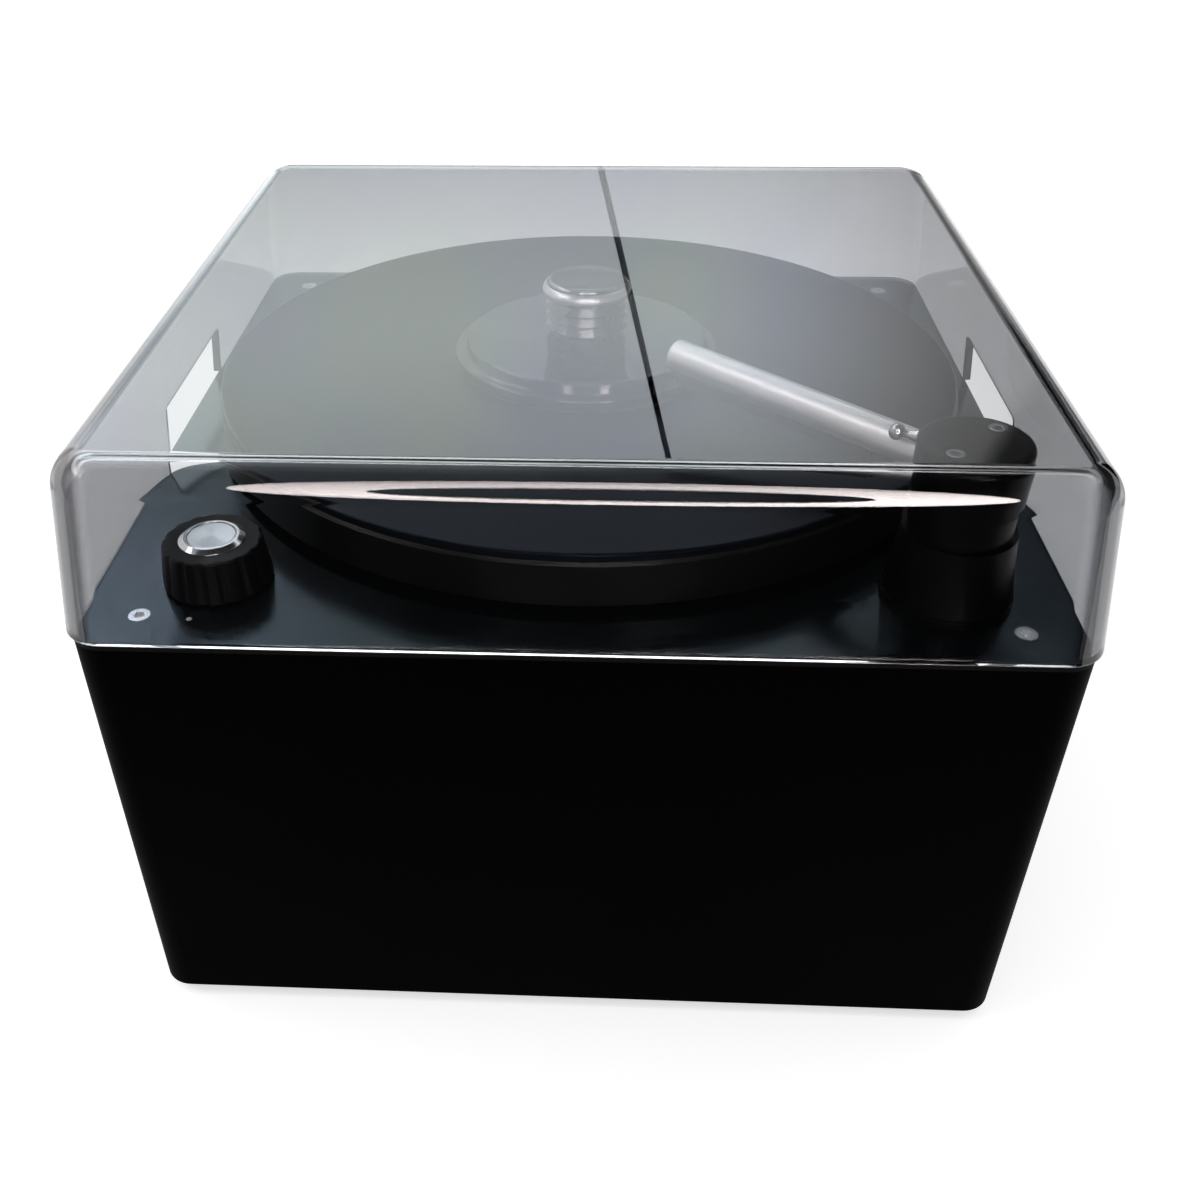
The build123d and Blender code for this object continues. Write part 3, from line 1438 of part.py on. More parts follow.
with BuildPart() as inlet_pins:
    with BuildSketch(rear.offset(inlet_flange_t - socket_depth)):
        with Locations((-inlet_x - inlet_pin_x, inlet_z - inlet_pin_z)):
            Rectangle(inlet_pin_w, inlet_pin_h)
        with Locations((-inlet_x + inlet_pin_x, inlet_z - inlet_pin_z)):
            Rectangle(inlet_pin_w, inlet_pin_h)
        with Locations((-inlet_x, inlet_z + inlet_pin_z)):
            Rectangle(inlet_pin_w, inlet_pin_h)
    extrude(amount=inlet_pin_l)
inlet_pins.part.label = "inlet_pins"
export_step(inlet_pins.part, "parts/inlet_pins.step")

inlet_screw_l = 7.0
with BuildPart() as inlet_screws:
    with Locations(rear.offset(inlet_flange_t - screw_sink)):
        with Locations((-inlet_x, inlet_z)):
            with GridLocations(2 * inlet_screw_x, 1, 2, 1):
                countersunk_screw(m3_r, m3_head_r, inlet_screw_l)
inlet_screws.part.label = "inlet_screws"
export_step(inlet_screws.part, "parts/inlet_screws.step")

# Rocker switch: frame clipped into the wall, and a rocker with a hollow V face.
rocker_cavity_h = 2 * (rocker_r + rocker_gap)
rocker_cavity_depth = rocker_pivot_depth + rocker_r + rocker_gap
with BuildPart() as switch_frame:
    with BuildSketch(rear):
        with Locations((-inlet_x, rocker_z)):
            RectangleRounded(rocker_frame_w, rocker_frame_h, rocker_frame_r)
    extrude(amount=rocker_frame_t)
    with BuildSketch(rear):
        with Locations((-inlet_x, rocker_z)):
            Rectangle(rocker_body_w, rocker_body_h)
    extrude(amount=-rocker_body_depth)
    with BuildSketch(rear.offset(-rocker_cavity_depth)):
        with Locations((-inlet_x, rocker_z)):
            Rectangle(rocker_w + 2 * rocker_gap, rocker_cavity_h)
    extrude(amount=rocker_cavity_depth + rocker_frame_t, mode=Mode.SUBTRACT)
switch_frame.part.label = "switch_frame"
export_step(switch_frame.part, "parts/switch_frame.step")

# The rocker rests tipped back at the top; its ends are arcs about the pivot.
rocker_plane = Plane(
    origin=(inlet_x, body_d / 2 - rocker_pivot_depth, rocker_z), x_dir=(0, 1, 0), z_dir=(1, 0, 0)
)
face_slope = rocker_r * sin(radians(rocker_tilt))
with BuildPart() as rocker:
    with BuildSketch(rocker_plane):
        with BuildLine():
            Polyline(
                (-rocker_r, -rocker_r),
                (rocker_face, -rocker_r),
                (rocker_face, 0),
                (rocker_face + 2 * face_slope, rocker_r),
                (-rocker_r, rocker_r),
                close=True,
            )
        make_face()
        Circle(rocker_r, mode=Mode.INTERSECT)
    extrude(amount=rocker_w / 2, both=True)
rocker.part.label = "rocker"
export_step(rocker.part, "parts/rocker.step")

# ================================================================== electronics

board_z = floor_z + board_post_h
capacitor_r = 9.0
capacitor_h = 26.0
terminal_block_h = 12.0
transformer_h = 34.0
with BuildPart() as power_board:
    with BuildSketch(Plane.XY.offset(board_z)):
        with Locations((board_x, board_y)):
            Rectangle(board_w, board_d)
    extrude(amount=board_t)
    with BuildSketch(Plane.XY.offset(board_z + board_t)):
        with Locations((board_x - board_w / 4, board_y)):
            Rectangle(board_w / 3, board_d / 2)
    extrude(amount=transformer_h)
    with BuildSketch(Plane.XY.offset(board_z + board_t)):
        with Locations((board_x + board_w / 6, board_y)):
            with GridLocations(1, 3 * capacitor_r, 1, 2):
                Circle(capacitor_r)
    extrude(amount=capacitor_h)
    with BuildSketch(Plane.XY.offset(board_z + board_t)):
        with Locations((board_x + board_w * 0.4, board_y)):
            Rectangle(terminal_block_h, board_d * 0.7)
    extrude(amount=terminal_block_h)
power_board.part.label = "power_board"
export_step(power_board.part, "parts/power_board.step")

with BuildPart() as board_posts:
    with BuildSketch(Plane.XY.offset(floor_z)):
        with Locations((board_x, board_y)):
            with GridLocations(board_w - 2 * board_post_inset, board_d - 2 * board_post_inset, 2, 2):
                Circle(board_post_r)
    extrude(amount=board_post_h)
board_posts.part.label = "board_posts"
export_step(board_posts.part, "parts/board_posts.step")
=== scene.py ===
from math import atan2, cos, degrees, hypot, pi, radians, sin

import bpy
from mathutils import Matrix, Vector


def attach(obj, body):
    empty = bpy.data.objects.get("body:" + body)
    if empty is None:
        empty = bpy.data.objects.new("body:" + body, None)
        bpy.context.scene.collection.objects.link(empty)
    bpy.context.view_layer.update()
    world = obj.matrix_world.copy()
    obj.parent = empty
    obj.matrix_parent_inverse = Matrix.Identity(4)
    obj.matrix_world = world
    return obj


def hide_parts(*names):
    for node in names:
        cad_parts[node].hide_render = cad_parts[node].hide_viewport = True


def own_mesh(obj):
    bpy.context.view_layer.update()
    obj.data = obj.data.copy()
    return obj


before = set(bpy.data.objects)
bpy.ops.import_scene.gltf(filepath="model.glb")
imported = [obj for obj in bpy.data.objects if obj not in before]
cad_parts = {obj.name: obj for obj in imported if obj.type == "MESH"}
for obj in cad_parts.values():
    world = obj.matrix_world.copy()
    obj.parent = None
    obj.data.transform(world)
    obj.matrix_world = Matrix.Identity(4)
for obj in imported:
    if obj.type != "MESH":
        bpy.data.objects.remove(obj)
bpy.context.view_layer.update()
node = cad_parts

# ================================================================== camera
# Eye level of someone who stands in front of the table and looks down on the lid.
# The small shift sets the machine where it stands in the square frame.
mm = 0.001
eye = Vector((6.83, -486.77, 420.03)) * mm
yaw, pitch, roll = radians(-3.35), radians(-37.36), radians(-0.74)
forward = Vector((sin(yaw) * cos(pitch), cos(yaw) * cos(pitch), sin(pitch)))
level = Vector((cos(yaw), -sin(yaw), 0))
upward = level.cross(forward)
level, upward = level * cos(roll) + upward * sin(roll), upward * cos(roll) - level * sin(roll)
lens = bpy.data.cameras.new("camera")
lens.lens, lens.sensor_width = 37.70, 36.0
lens.shift_x, lens.shift_y = 0.0525, 0.0547
lens.clip_start = 0.01
camera = bpy.data.objects.new("camera", lens)
camera.matrix_world = Matrix.Translation(eye) @ Matrix((level, upward, -forward)).transposed().to_4x4()
bpy.context.scene.collection.objects.link(camera)
bpy.context.scene.camera = camera
bpy.context.scene.view_settings.view_transform = "Standard"

# ================================================================== housing
# A box folded from steel sheet and welded, open at the top, with a base plate screwed in
# below. It is powder coated black: a fine orange peel breaks up its low gloss.


def linear(colour):
    """An sRGB hex colour as the linear colour that a shader takes."""
    parts = [int(colour[i : i + 2], 16) / 255 for i in (1, 3, 5)]
    return (*[c / 12.92 if c <= 0.04045 else ((c + 0.055) / 1.055) ** 2.4 for c in parts], 1.0)


def finish(name):
    """A new material without nodes."""
    made = bpy.data.materials.new(name)
    made.use_nodes = True
    made.node_tree.nodes.clear()
    return made


def add(material, kind, settings=(), links=()):
    """One node: settings go to its inputs or attributes, links are (input, node, output)."""
    made = material.node_tree.nodes.new("ShaderNode" + kind)
    for key, value in dict(settings).items():
        if isinstance(key, int) or key in made.inputs:
            made.inputs[key].default_value = value
        else:
            setattr(made, key, value)
    for own, other, output in links:
        material.node_tree.links.new(other.outputs[output], made.inputs[own])
    return made


def dress(material, *names):
    """Gives CAD nodes their finish."""
    for name in names:
        node[name].data.materials.clear()
        node[name].data.materials.append(material)


powder = finish("powder_coated_steel")
place = add(powder, "TexCoord")
peel = add(powder, "TexNoise", {"Scale": 1 / (1.4 * mm), "Detail": 2.0}, [("Vector", place, "Object")])
cloud = add(powder, "TexNoise", {"Scale": 1 / (60 * mm), "Detail": 3.0}, [("Vector", place, "Object")])
gloss = add(
    powder, "MapRange", {"From Min": 0.3, "From Max": 0.7, "To Min": 0.44, "To Max": 0.54},
    [("Value", cloud, "Fac")],
)
bump = add(powder, "Bump", {"Strength": 0.25, "Distance": 0.05 * mm}, [("Height", peel, "Fac")])
coat = add(
    powder, "BsdfPrincipled", {"Base Color": linear("#010101"), "Specular IOR Level": 0.008},
    [("Roughness", gloss, "Result"), ("Normal", bump, "Normal")],
)
add(powder, "OutputMaterial", links=[("Surface", coat, "BSDF")])
dress(powder, "housing_shell", "base_plate")

# Feet: moulded rubber buttons, each held by a zinc plated screw in its pocket.
rubber = finish("moulded_rubber")
place = add(rubber, "TexCoord")
grain = add(rubber, "TexNoise", {"Scale": 1 / (0.8 * mm), "Detail": 4.0}, [("Vector", place, "Object")])
tone = add(
    rubber, "MixRGB", {"Color1": linear("#141414"), "Color2": linear("#1e1e1d")}, [("Fac", grain, "Fac")]
)
bump = add(rubber, "Bump", {"Strength": 0.3, "Distance": 0.08 * mm}, [("Height", grain, "Fac")])
moulded = add(
    rubber, "BsdfPrincipled", {"Roughness": 0.68, "Specular IOR Level": 0.35},
    [("Base Color", tone, "Color"), ("Normal", bump, "Normal")],
)
add(rubber, "OutputMaterial", links=[("Surface", moulded, "BSDF")])
dress(rubber, "feet", "drive_belt", "motor_mount", "drain_plug", "clamp_seal")

# Zinc plating on fittings and small screws: light grey with a faint spangle.
zinc = finish("zinc_plated_steel")
place = add(zinc, "TexCoord")
spangle = add(zinc, "TexNoise", {"Scale": 1 / (3 * mm), "Detail": 5.0}, [("Vector", place, "Object")])
tone = add(
    zinc, "MixRGB", {"Color1": linear("#a5a8ad"), "Color2": linear("#c4c6c8")}, [("Fac", spangle, "Fac")]
)
gloss = add(zinc, "MapRange", {"To Min": 0.28, "To Max": 0.45}, [("Value", spangle, "Fac")])
plated = add(
    zinc, "BsdfPrincipled", {"Metallic": 1.0}, [("Base Color", tone, "Color"), ("Roughness", gloss, "Result")]
)
add(zinc, "OutputMaterial", links=[("Surface", plated, "BSDF")])
dress(
    zinc, "foot_screws", "tank_screws", "bracket_screws", "inlet_screws", "motor_bracket", "bracket_posts",
    "hose_clips", "board_posts", "switch_nut", "tower_nut", "thrust_washer",
)

# ================================================================== rear wall
# Mains inlet and rocker switch: moulded glossy thermoplastic snapped or screwed into the
# rear wall, the drain cup beside them. The inlet's pins are bare brass.
moulding = finish("glossy_moulded_plastic")
place = add(moulding, "TexCoord")
flow = add(moulding, "TexNoise", {"Scale": 1 / (9 * mm), "Detail": 3.0}, [("Vector", place, "Object")])
gloss = add(moulding, "MapRange", {"To Min": 0.22, "To Max": 0.34}, [("Value", flow, "Fac")])
plastic = add(
    moulding, "BsdfPrincipled", {"Base Color": linear("#101011"), "Specular IOR Level": 0.5},
    [("Roughness", gloss, "Result")],
)
add(moulding, "OutputMaterial", links=[("Surface", plastic, "BSDF")])
dress(moulding, "mains_inlet", "rocker", "drain_cup")

# Satin moulded plastic has the fine grain of an eroded mould, which scatters its shine.
satin = finish("satin_moulded_plastic")
place = add(satin, "TexCoord")
grain = add(satin, "TexNoise", {"Scale": 1 / (0.6 * mm), "Detail": 2.0}, [("Vector", place, "Object")])
bump = add(satin, "Bump", {"Strength": 0.35, "Distance": 0.03 * mm}, [("Height", grain, "Fac")])
gloss = add(satin, "MapRange", {"To Min": 0.45, "To Max": 0.6}, [("Value", grain, "Fac")])
plastic = add(
    satin, "BsdfPrincipled", {"Base Color": linear("#0e0e0f"), "Specular IOR Level": 0.4},
    [("Roughness", gloss, "Result"), ("Normal", bump, "Normal")],
)
add(satin, "OutputMaterial", links=[("Surface", plastic, "BSDF")])
dress(satin, "switch_frame", "selector_switch", "vacuum_motor")

# Turned brass shows the fine rings of the lathe.
brass = finish("turned_brass")
place = add(brass, "TexCoord")
lathe = add(
    brass, "TexWave",
    {"wave_type": "RINGS", "rings_direction": "Z", "Scale": 1 / (1.2 * mm), "Distortion": 0.6},
    [("Vector", place, "Object")],
)
gloss = add(brass, "MapRange", {"To Min": 0.22, "To Max": 0.36}, [("Value", lathe, "Fac")])
metal = add(
    brass, "BsdfPrincipled", {"Base Color": linear("#c9a765"), "Metallic": 1.0},
    [("Roughness", gloss, "Result")],
)
add(brass, "OutputMaterial", links=[("Surface", metal, "BSDF")])
dress(brass, "inlet_pins", "clamp_insert", "bearing_bushes", "swivel_bush")

# ================================================================== inner works
# Under the top plate: gear motor and belt, the spindle's bearing, the suction motor, the
# waste tank with its hoses and the power board. They show only where the plate is off.
cast = finish("machined_aluminium")
place = add(cast, "TexCoord")
turning = add(cast, "TexNoise", {"Scale": 1 / (2 * mm), "Detail": 6.0}, [("Vector", place, "Object")])
gloss = add(cast, "MapRange", {"To Min": 0.3, "To Max": 0.48}, [("Value", turning, "Fac")])
tone = add(
    cast, "MixRGB", {"Color1": linear("#b4b6b9"), "Color2": linear("#c9cbcd")}, [("Fac", turning, "Fac")]
)
metal = add(
    cast, "BsdfPrincipled", {"Metallic": 1.0}, [("Base Color", tone, "Color"), ("Roughness", gloss, "Result")]
)
add(cast, "OutputMaterial", links=[("Surface", metal, "BSDF")])
dress(cast, "bearing_housing", "driven_pulley", "motor_pulley", "gear_motor")

# Ground steel is smooth, with a short bright shine.
steel = finish("ground_steel")
place = add(steel, "TexCoord")
ground = add(steel, "TexNoise", {"Scale": 1 / (1.5 * mm), "Detail": 4.0}, [("Vector", place, "Object")])
gloss = add(steel, "MapRange", {"To Min": 0.16, "To Max": 0.28}, [("Value", ground, "Fac")])
metal = add(
    steel, "BsdfPrincipled", {"Base Color": linear("#b9babc"), "Metallic": 1.0},
    [("Roughness", gloss, "Result")],
)
add(steel, "OutputMaterial", links=[("Surface", metal, "BSDF")])
dress(steel, "spindle_shaft", "knob_shaft")

# Natural polyethylene is milky and waxy, and light sinks into it.
tank = finish("natural_polyethylene")
place = add(tank, "TexCoord")
skin = add(tank, "TexNoise", {"Scale": 1 / (12 * mm), "Detail": 4.0}, [("Vector", place, "Object")])
tone = add(tank, "MixRGB", {"Color1": linear("#d9d8d0"), "Color2": linear("#e6e5df")}, [("Fac", skin, "Fac")])
wax = add(
    tank, "BsdfPrincipled", {"Roughness": 0.42, "Subsurface Weight": 0.25, "Subsurface Scale": 4 * mm},
    [("Base Color", tone, "Color")],
)
add(tank, "OutputMaterial", links=[("Surface", wax, "BSDF")])
dress(tank, "waste_tank", "tank_lid")

# Soft vinyl hose: dark, with a wet looking shine.
hose = finish("soft_vinyl_hose")
place = add(hose, "TexCoord")
haze = add(hose, "TexNoise", {"Scale": 1 / (5 * mm), "Detail": 3.0}, [("Vector", place, "Object")])
tone = add(hose, "MixRGB", {"Color1": linear("#1d1e20"), "Color2": linear("#2b2c2e")}, [("Fac", haze, "Fac")])
vinyl = add(hose, "BsdfPrincipled", {"Roughness": 0.38}, [("Base Color", tone, "Color")])
add(hose, "OutputMaterial", links=[("Surface", vinyl, "BSDF")])
dress(hose, "suction_hose", "transfer_hose")

# Glass epoxy board: green, with the weave of its cloth.
board = finish("glass_epoxy_board")
place = add(board, "TexCoord")
weave = add(
    board, "TexChecker", {"Color1": linear("#1f5a38"), "Color2": linear("#24633f"), "Scale": 1 / (0.8 * mm)},
    [("Vector", place, "Object")],
)
resist = add(board, "BsdfPrincipled", {"Roughness": 0.35}, [("Base Color", weave, "Color")])
add(board, "OutputMaterial", links=[("Surface", resist, "BSDF")])
dress(board, "power_board")

# ================================================================== top plate
# A 3 mm aluminium plate, painted black with a silky, half gloss coat that mirrors what
# stands on it; its cut edges stay dull. Its screws are countersunk, just below its face.
deck_z = 179.0
paint = finish("half_gloss_painted_plate")
place = add(paint, "TexCoord")
dust = add(
    paint, "TexNoise", {"Scale": 1 / (2.2 * mm), "Detail": 6.0, "Roughness": 0.7},
    [("Vector", place, "Object")],
)
wipe = add(paint, "TexNoise", {"Scale": 1 / (45 * mm), "Detail": 4.0}, [("Vector", place, "Object")])
gloss = add(
    paint, "MapRange", {"From Min": 0.3, "From Max": 0.7, "To Min": 0.15, "To Max": 0.21},
    [("Value", wipe, "Fac")],
)
bump = add(paint, "Bump", {"Strength": 0.04, "Distance": 0.02 * mm}, [("Height", dust, "Fac")])
# The specular tint #cceafb gives the plate's reflections a painted cool blue-grey cast.
silk = add(
    paint, "BsdfPrincipled",
    {"Base Color": linear("#020304"), "Specular IOR Level": 1.0, "Specular Tint": linear("#cceafb")},
    [("Roughness", gloss, "Result"), ("Normal", bump, "Normal")],
)
cut = add(
    paint, "BsdfPrincipled", {"Base Color": linear("#040404"), "Specular IOR Level": 0.05, "Roughness": 0.6}
)
facing = add(paint, "NewGeometry")
facing = add(paint, "SeparateXYZ", links=[("Vector", facing, "Normal")])
face = add(paint, "MapRange", {"From Min": 0.3, "From Max": 0.9}, [("Value", facing, "Z")])
both = add(paint, "MixShader", links=[(0, face, "Result"), (1, cut, "BSDF"), (2, silk, "BSDF")])
add(paint, "OutputMaterial", links=[("Surface", both, "Shader")])
dress(paint, "top_plate")


def only(piece):
    """Selects one piece and nothing else."""
    bpy.ops.object.select_all(action="DESELECT")
    piece.select_set(True)
    bpy.context.view_layer.objects.active = piece


def turned(name, centre, stations, sides=96, base=0.0):
    """A lathe piece: a ring drawn through (radius, height above base) stations in mm, then closed."""
    stations = [(radius, base + height) for radius, height in stations]
    bpy.ops.object.select_all(action="DESELECT")
    x, y = centre[0] * mm, centre[1] * mm
    radius, height = stations[0]
    bpy.ops.mesh.primitive_circle_add(vertices=sides, radius=radius * mm, location=(x, y, height * mm))
    piece = bpy.context.object
    piece.name = piece.data.name = name
    bpy.ops.object.mode_set(mode="EDIT")
    bpy.ops.mesh.select_mode(type="VERT")
    bpy.ops.mesh.select_all(action="SELECT")
    for next_radius, next_height in stations[1:]:
        rise = (0, 0, (next_height - height) * mm)
        bpy.ops.mesh.extrude_region_move(TRANSFORM_OT_translate={"value": rise})
        ratio = next_radius / radius
        bpy.ops.transform.resize(value=(ratio, ratio, 1), center_override=(x, y, next_height * mm))
        radius, height = next_radius, next_height
    bpy.ops.mesh.select_all(action="SELECT")
    bpy.ops.mesh.remove_doubles(threshold=0.001 * mm)
    bpy.ops.mesh.fill_holes(sides=0)
    bpy.ops.mesh.select_all(action="SELECT")
    bpy.ops.mesh.normals_make_consistent(inside=False)
    bpy.ops.object.mode_set(mode="OBJECT")
    bpy.ops.object.transform_apply()
    return piece


def soften(piece, width, segments=3, angle=30):
    """Breaks the sharp edges, as the tool or the mould does, and shades the piece smooth."""
    only(piece)
    if width:
        edges = piece.modifiers.new("edges", "BEVEL")
        edges.width, edges.segments = width * mm, segments
        edges.limit_method, edges.angle_limit = "ANGLE", radians(angle)
        bpy.ops.object.modifier_apply(modifier="edges")
    bpy.ops.object.shade_smooth_by_angle(angle=radians(angle))
    flats = piece.modifiers.new("flats", "WEIGHTED_NORMAL")
    flats.keep_sharp = True
    bpy.ops.object.modifier_apply(modifier="flats")


def fit(piece, material, body, slot, *nodes):
    """Gives a new piece its finish, its body and the CAD nodes that it stands for."""
    piece.data.materials.clear()
    piece.data.materials.append(material)
    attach(piece, body)
    if nodes:
        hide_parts(*nodes)


def pick(piece, test, kind="FACE"):
    """Selects the faces, edges or vertices that pass the test and stays in edit mode."""
    only(piece)
    bpy.ops.object.mode_set(mode="EDIT")
    bpy.ops.mesh.select_mode(type=kind)
    bpy.ops.mesh.select_all(action="DESELECT")
    bpy.ops.object.mode_set(mode="OBJECT")
    mesh = piece.data
    for part in {"FACE": mesh.polygons, "EDGE": mesh.edges, "VERT": mesh.vertices}[kind]:
        part.select = test(part)
    bpy.ops.object.mode_set(mode="EDIT")


def faces_up(face):
    """Whether a face looks upwards."""
    return face.normal.z > 0.9


def countersunk(name, x, y, top, head_radius, shank_radius, length):
    """A countersunk screw with a six-lobed recess in its flat head."""
    sides, lobe_sides = 48, 8
    pinched = (3, 4, 5)
    recess_share, pinch, recess_depth = 0.5, 0.78, 0.45
    piece = turned(
        name, (x, y),
        [
            (shank_radius, top - length), (shank_radius, top - head_radius + shank_radius),
            (head_radius, top - 0.3), (head_radius, top),
        ],
        sides,
    )
    centre = Vector((x * mm, y * mm, top * mm))

    def between_lobes(vertex):
        across = vertex.co - centre
        if abs(across.z) > 0.01 * mm or hypot(across.x, across.y) > head_radius * 0.6 * mm:
            return False
        return round(degrees(atan2(across.y, across.x)) / (360 / sides)) % lobe_sides in pinched

    def in_recess(face):
        across = face.center - centre
        return faces_up(face) and hypot(across.x, across.y) < 0.1 * mm

    pick(piece, faces_up)
    bpy.ops.mesh.inset(thickness=head_radius * recess_share * mm)
    bpy.ops.object.mode_set(mode="OBJECT")
    pick(piece, between_lobes, "VERT")
    bpy.ops.transform.resize(value=(pinch, pinch, 1), center_override=centre)
    bpy.ops.object.mode_set(mode="OBJECT")
    pick(piece, in_recess)
    depth = (0, 0, -head_radius * recess_depth * mm)
    bpy.ops.mesh.extrude_region_move(TRANSFORM_OT_translate={"value": depth})
    bpy.ops.object.mode_set(mode="OBJECT")
    return piece


def copied(piece, x, y):
    """A copy of a piece, with its own mesh, moved by x and y."""
    only(piece)
    bpy.ops.object.duplicate()
    bpy.ops.transform.translate(value=(x * mm, y * mm, 0))
    bpy.ops.object.transform_apply()
    return bpy.context.object


def joined(name, pieces):
    """Several like pieces as one."""
    only(pieces[0])
    for piece in pieces:
        piece.select_set(True)
    bpy.ops.object.join()
    pieces[0].name = pieces[0].data.name = name
    return pieces[0]


# The plate's screws are nickel plated and bright: one at each corner, four round the
# bearing and four over the motor's bracket.
nickel = finish("nickel_plated_screw_steel")
place = add(nickel, "TexCoord")
scuff = add(nickel, "TexNoise", {"Scale": 1 / (0.7 * mm), "Detail": 3.0}, [("Vector", place, "Object")])
gloss = add(nickel, "MapRange", {"To Min": 0.15, "To Max": 0.26}, [("Value", scuff, "Fac")])
tone = add(
    nickel, "MixRGB", {"Color1": linear("#d6d8da"), "Color2": linear("#f0f1f2")}, [("Fac", scuff, "Fac")]
)
metal = add(
    nickel, "BsdfPrincipled", {"Metallic": 1.0},
    [("Base Color", tone, "Color"), ("Roughness", gloss, "Result")],
)
add(nickel, "OutputMaterial", links=[("Surface", metal, "BSDF")])

platter_axis = (0.0, 8.5)
corner_x, corner_y = 146.5, 147.0
bearing_circle = 24
bracket_x, bracket_y = -57.95, -49.45
bracket_half_x, bracket_half_y = 32, 30
ends = [(i, j) for i in (-1, 1) for j in (-1, 1)]
spots = [(i * corner_x, j * corner_y) for i, j in ends]
for a in (45, 135, 225, 315):
    x, y = bearing_circle * cos(radians(a)), bearing_circle * sin(radians(a))
    spots.append((platter_axis[0] + x, platter_axis[1] + y))
spots += [(bracket_x + i * bracket_half_x, bracket_y + j * bracket_half_y) for i, j in ends]
m4_head, m4_shank, m4_length = 3.75, 2.0, 6.0
first = countersunk("plate_screw", *spots[0], deck_z - 0.1, m4_head, m4_shank, m4_length)
soften(first, 0.12, 2)
screws = [first] + [copied(first, x - spots[0][0], y - spots[0][1]) for x, y in spots[1:]]
fit(joined("countersunk_plate_screws", screws), nickel, "housing", "steel", "plate_screws")

# Index mark: one small dot of white enamel in front of the knob, pad printed on the plate.
enamel = finish("white_printing_ink")
place = add(enamel, "TexCoord")
screen = add(enamel, "TexNoise", {"Scale": 1 / (0.4 * mm)}, [("Vector", place, "Object")])
tone = add(
    enamel, "MixRGB", {"Color1": linear("#e9e9e7"), "Color2": linear("#fbfbfa")}, [("Fac", screen, "Fac")]
)
ink = add(enamel, "BsdfPrincipled", {"Roughness": 0.5}, [("Base Color", tone, "Color")])
add(enamel, "OutputMaterial", links=[("Surface", ink, "BSDF")])
dot = turned("index_dot", (-129.0, -149.0), [(0.95, -0.05), (1.0, 0.0), (0.9, 0.06)], 32, deck_z)
soften(dot, 0)
fit(dot, enamel, "housing", "plate")

# ================================================================== platter
# A heavy turned aluminium disc, anodised black, that runs on the spindle; the mat on it is
# ribbed rubber with a silky skin, with faint blue and green tints in its colour as painted sheen.
anodised = finish("black_anodised_turned_aluminium")
place = add(anodised, "TexCoord")
centred = add(anodised, "Mapping", {"Location": (0, -platter_axis[1] * mm, 0)}, [("Vector", place, "Object")])
turning = add(
    anodised, "TexWave",
    {"wave_type": "RINGS", "rings_direction": "Z", "Scale": 1 / (6 * mm), "Distortion": 0.5, "Detail": 2.0},
    [("Vector", centred, "Vector")],
)
gloss = add(anodised, "MapRange", {"To Min": 0.32, "To Max": 0.4}, [("Value", turning, "Fac")])
oxide = add(
    anodised, "BsdfPrincipled", {"Base Color": linear("#080707"), "Specular IOR Level": 0.2},
    [("Roughness", gloss, "Result")],
)
add(anodised, "OutputMaterial", links=[("Surface", oxide, "BSDF")])
dress(anodised, "platter")

# The mat: light catches its silky skin as a cool veil, over fine ribs.
mat = finish("silky_rubber_mat")
place = add(mat, "TexCoord")
centred = add(mat, "Mapping", {"Location": (0, -platter_axis[1] * mm, 0)}, [("Vector", place, "Object")])
# Faint blue and green drifts in the mat's base colour: a painted sheen.
painted_sheen_drift = add(
    mat, "TexNoise", {"Scale": 1 / (85 * mm), "Detail": 2.0, "Distortion": 0.4},
    [("Vector", centred, "Vector")],
)
tint = add(mat, "MixRGB", {"Color1": linear("#0a0a0e"), "Color2": linear("#080b0b")}, [("Fac", painted_sheen_drift, "Fac")])
groove = add(
    mat, "TexWave", {"wave_type": "RINGS", "rings_direction": "Z", "Scale": 1 / (8 * mm), "Distortion": 0.0},
    [("Vector", centred, "Vector")],
)
bump = add(mat, "Bump", {"Strength": 0.06, "Distance": 0.05 * mm}, [("Height", groove, "Fac")])
skin = add(
    mat, "BsdfPrincipled", {"Roughness": 0.34, "Specular IOR Level": 0.2, "Specular Tint": linear("#b4ccff")},
    [("Base Color", tint, "Color"), ("Normal", bump, "Normal")],
)
add(mat, "OutputMaterial", links=[("Surface", skin, "BSDF")])
dress(mat, "platter_mat")

# ================================================================== record clamp
# A stepped, glossy skirt turned from black acetal lies over the label. On it stand a ribbed
# acetal grip, a bulged aluminium collar and a plain domed badge inside a polished bead.
mat_z = 202.0

# Turned acetal, polished: black with a sharp, deep gloss.
acetal = finish("turned_acetal")
place = add(acetal, "TexCoord")
centred = add(acetal, "Mapping", {"Location": (0, -platter_axis[1] * mm, 0)}, [("Vector", place, "Object")])
lathe = add(acetal, "TexNoise", {"Scale": 1 / (30 * mm), "Detail": 1.0}, [("Vector", centred, "Vector")])
gloss = add(acetal, "MapRange", {"To Min": 0.05, "To Max": 0.07}, [("Value", lathe, "Fac")])
resin = add(
    acetal, "BsdfPrincipled", {"Base Color": linear("#0c0c0d"), "Specular IOR Level": 0.75},
    [("Roughness", gloss, "Result")],
)
add(acetal, "OutputMaterial", links=[("Surface", resin, "BSDF")])

skirt = turned(
    "clamp_skirt", platter_axis,
    [
        (6.1, 1.2), (54.0, 1.2), (54.0, 5.5), (50.0, 5.5), (48.5, 9.8), (42.0, 9.75), (35.0, 9.85),
        (27.0, 10.15), (19.0, 10.75), (14.0, 11.2), (6.1, 11.2), (6.1, 1.2),
    ],
    160, mat_z,
)
soften(skirt, 1.0, 4, 35)
fit(skirt, acetal, "record_clamp", "gloss_black", "clamp_base")

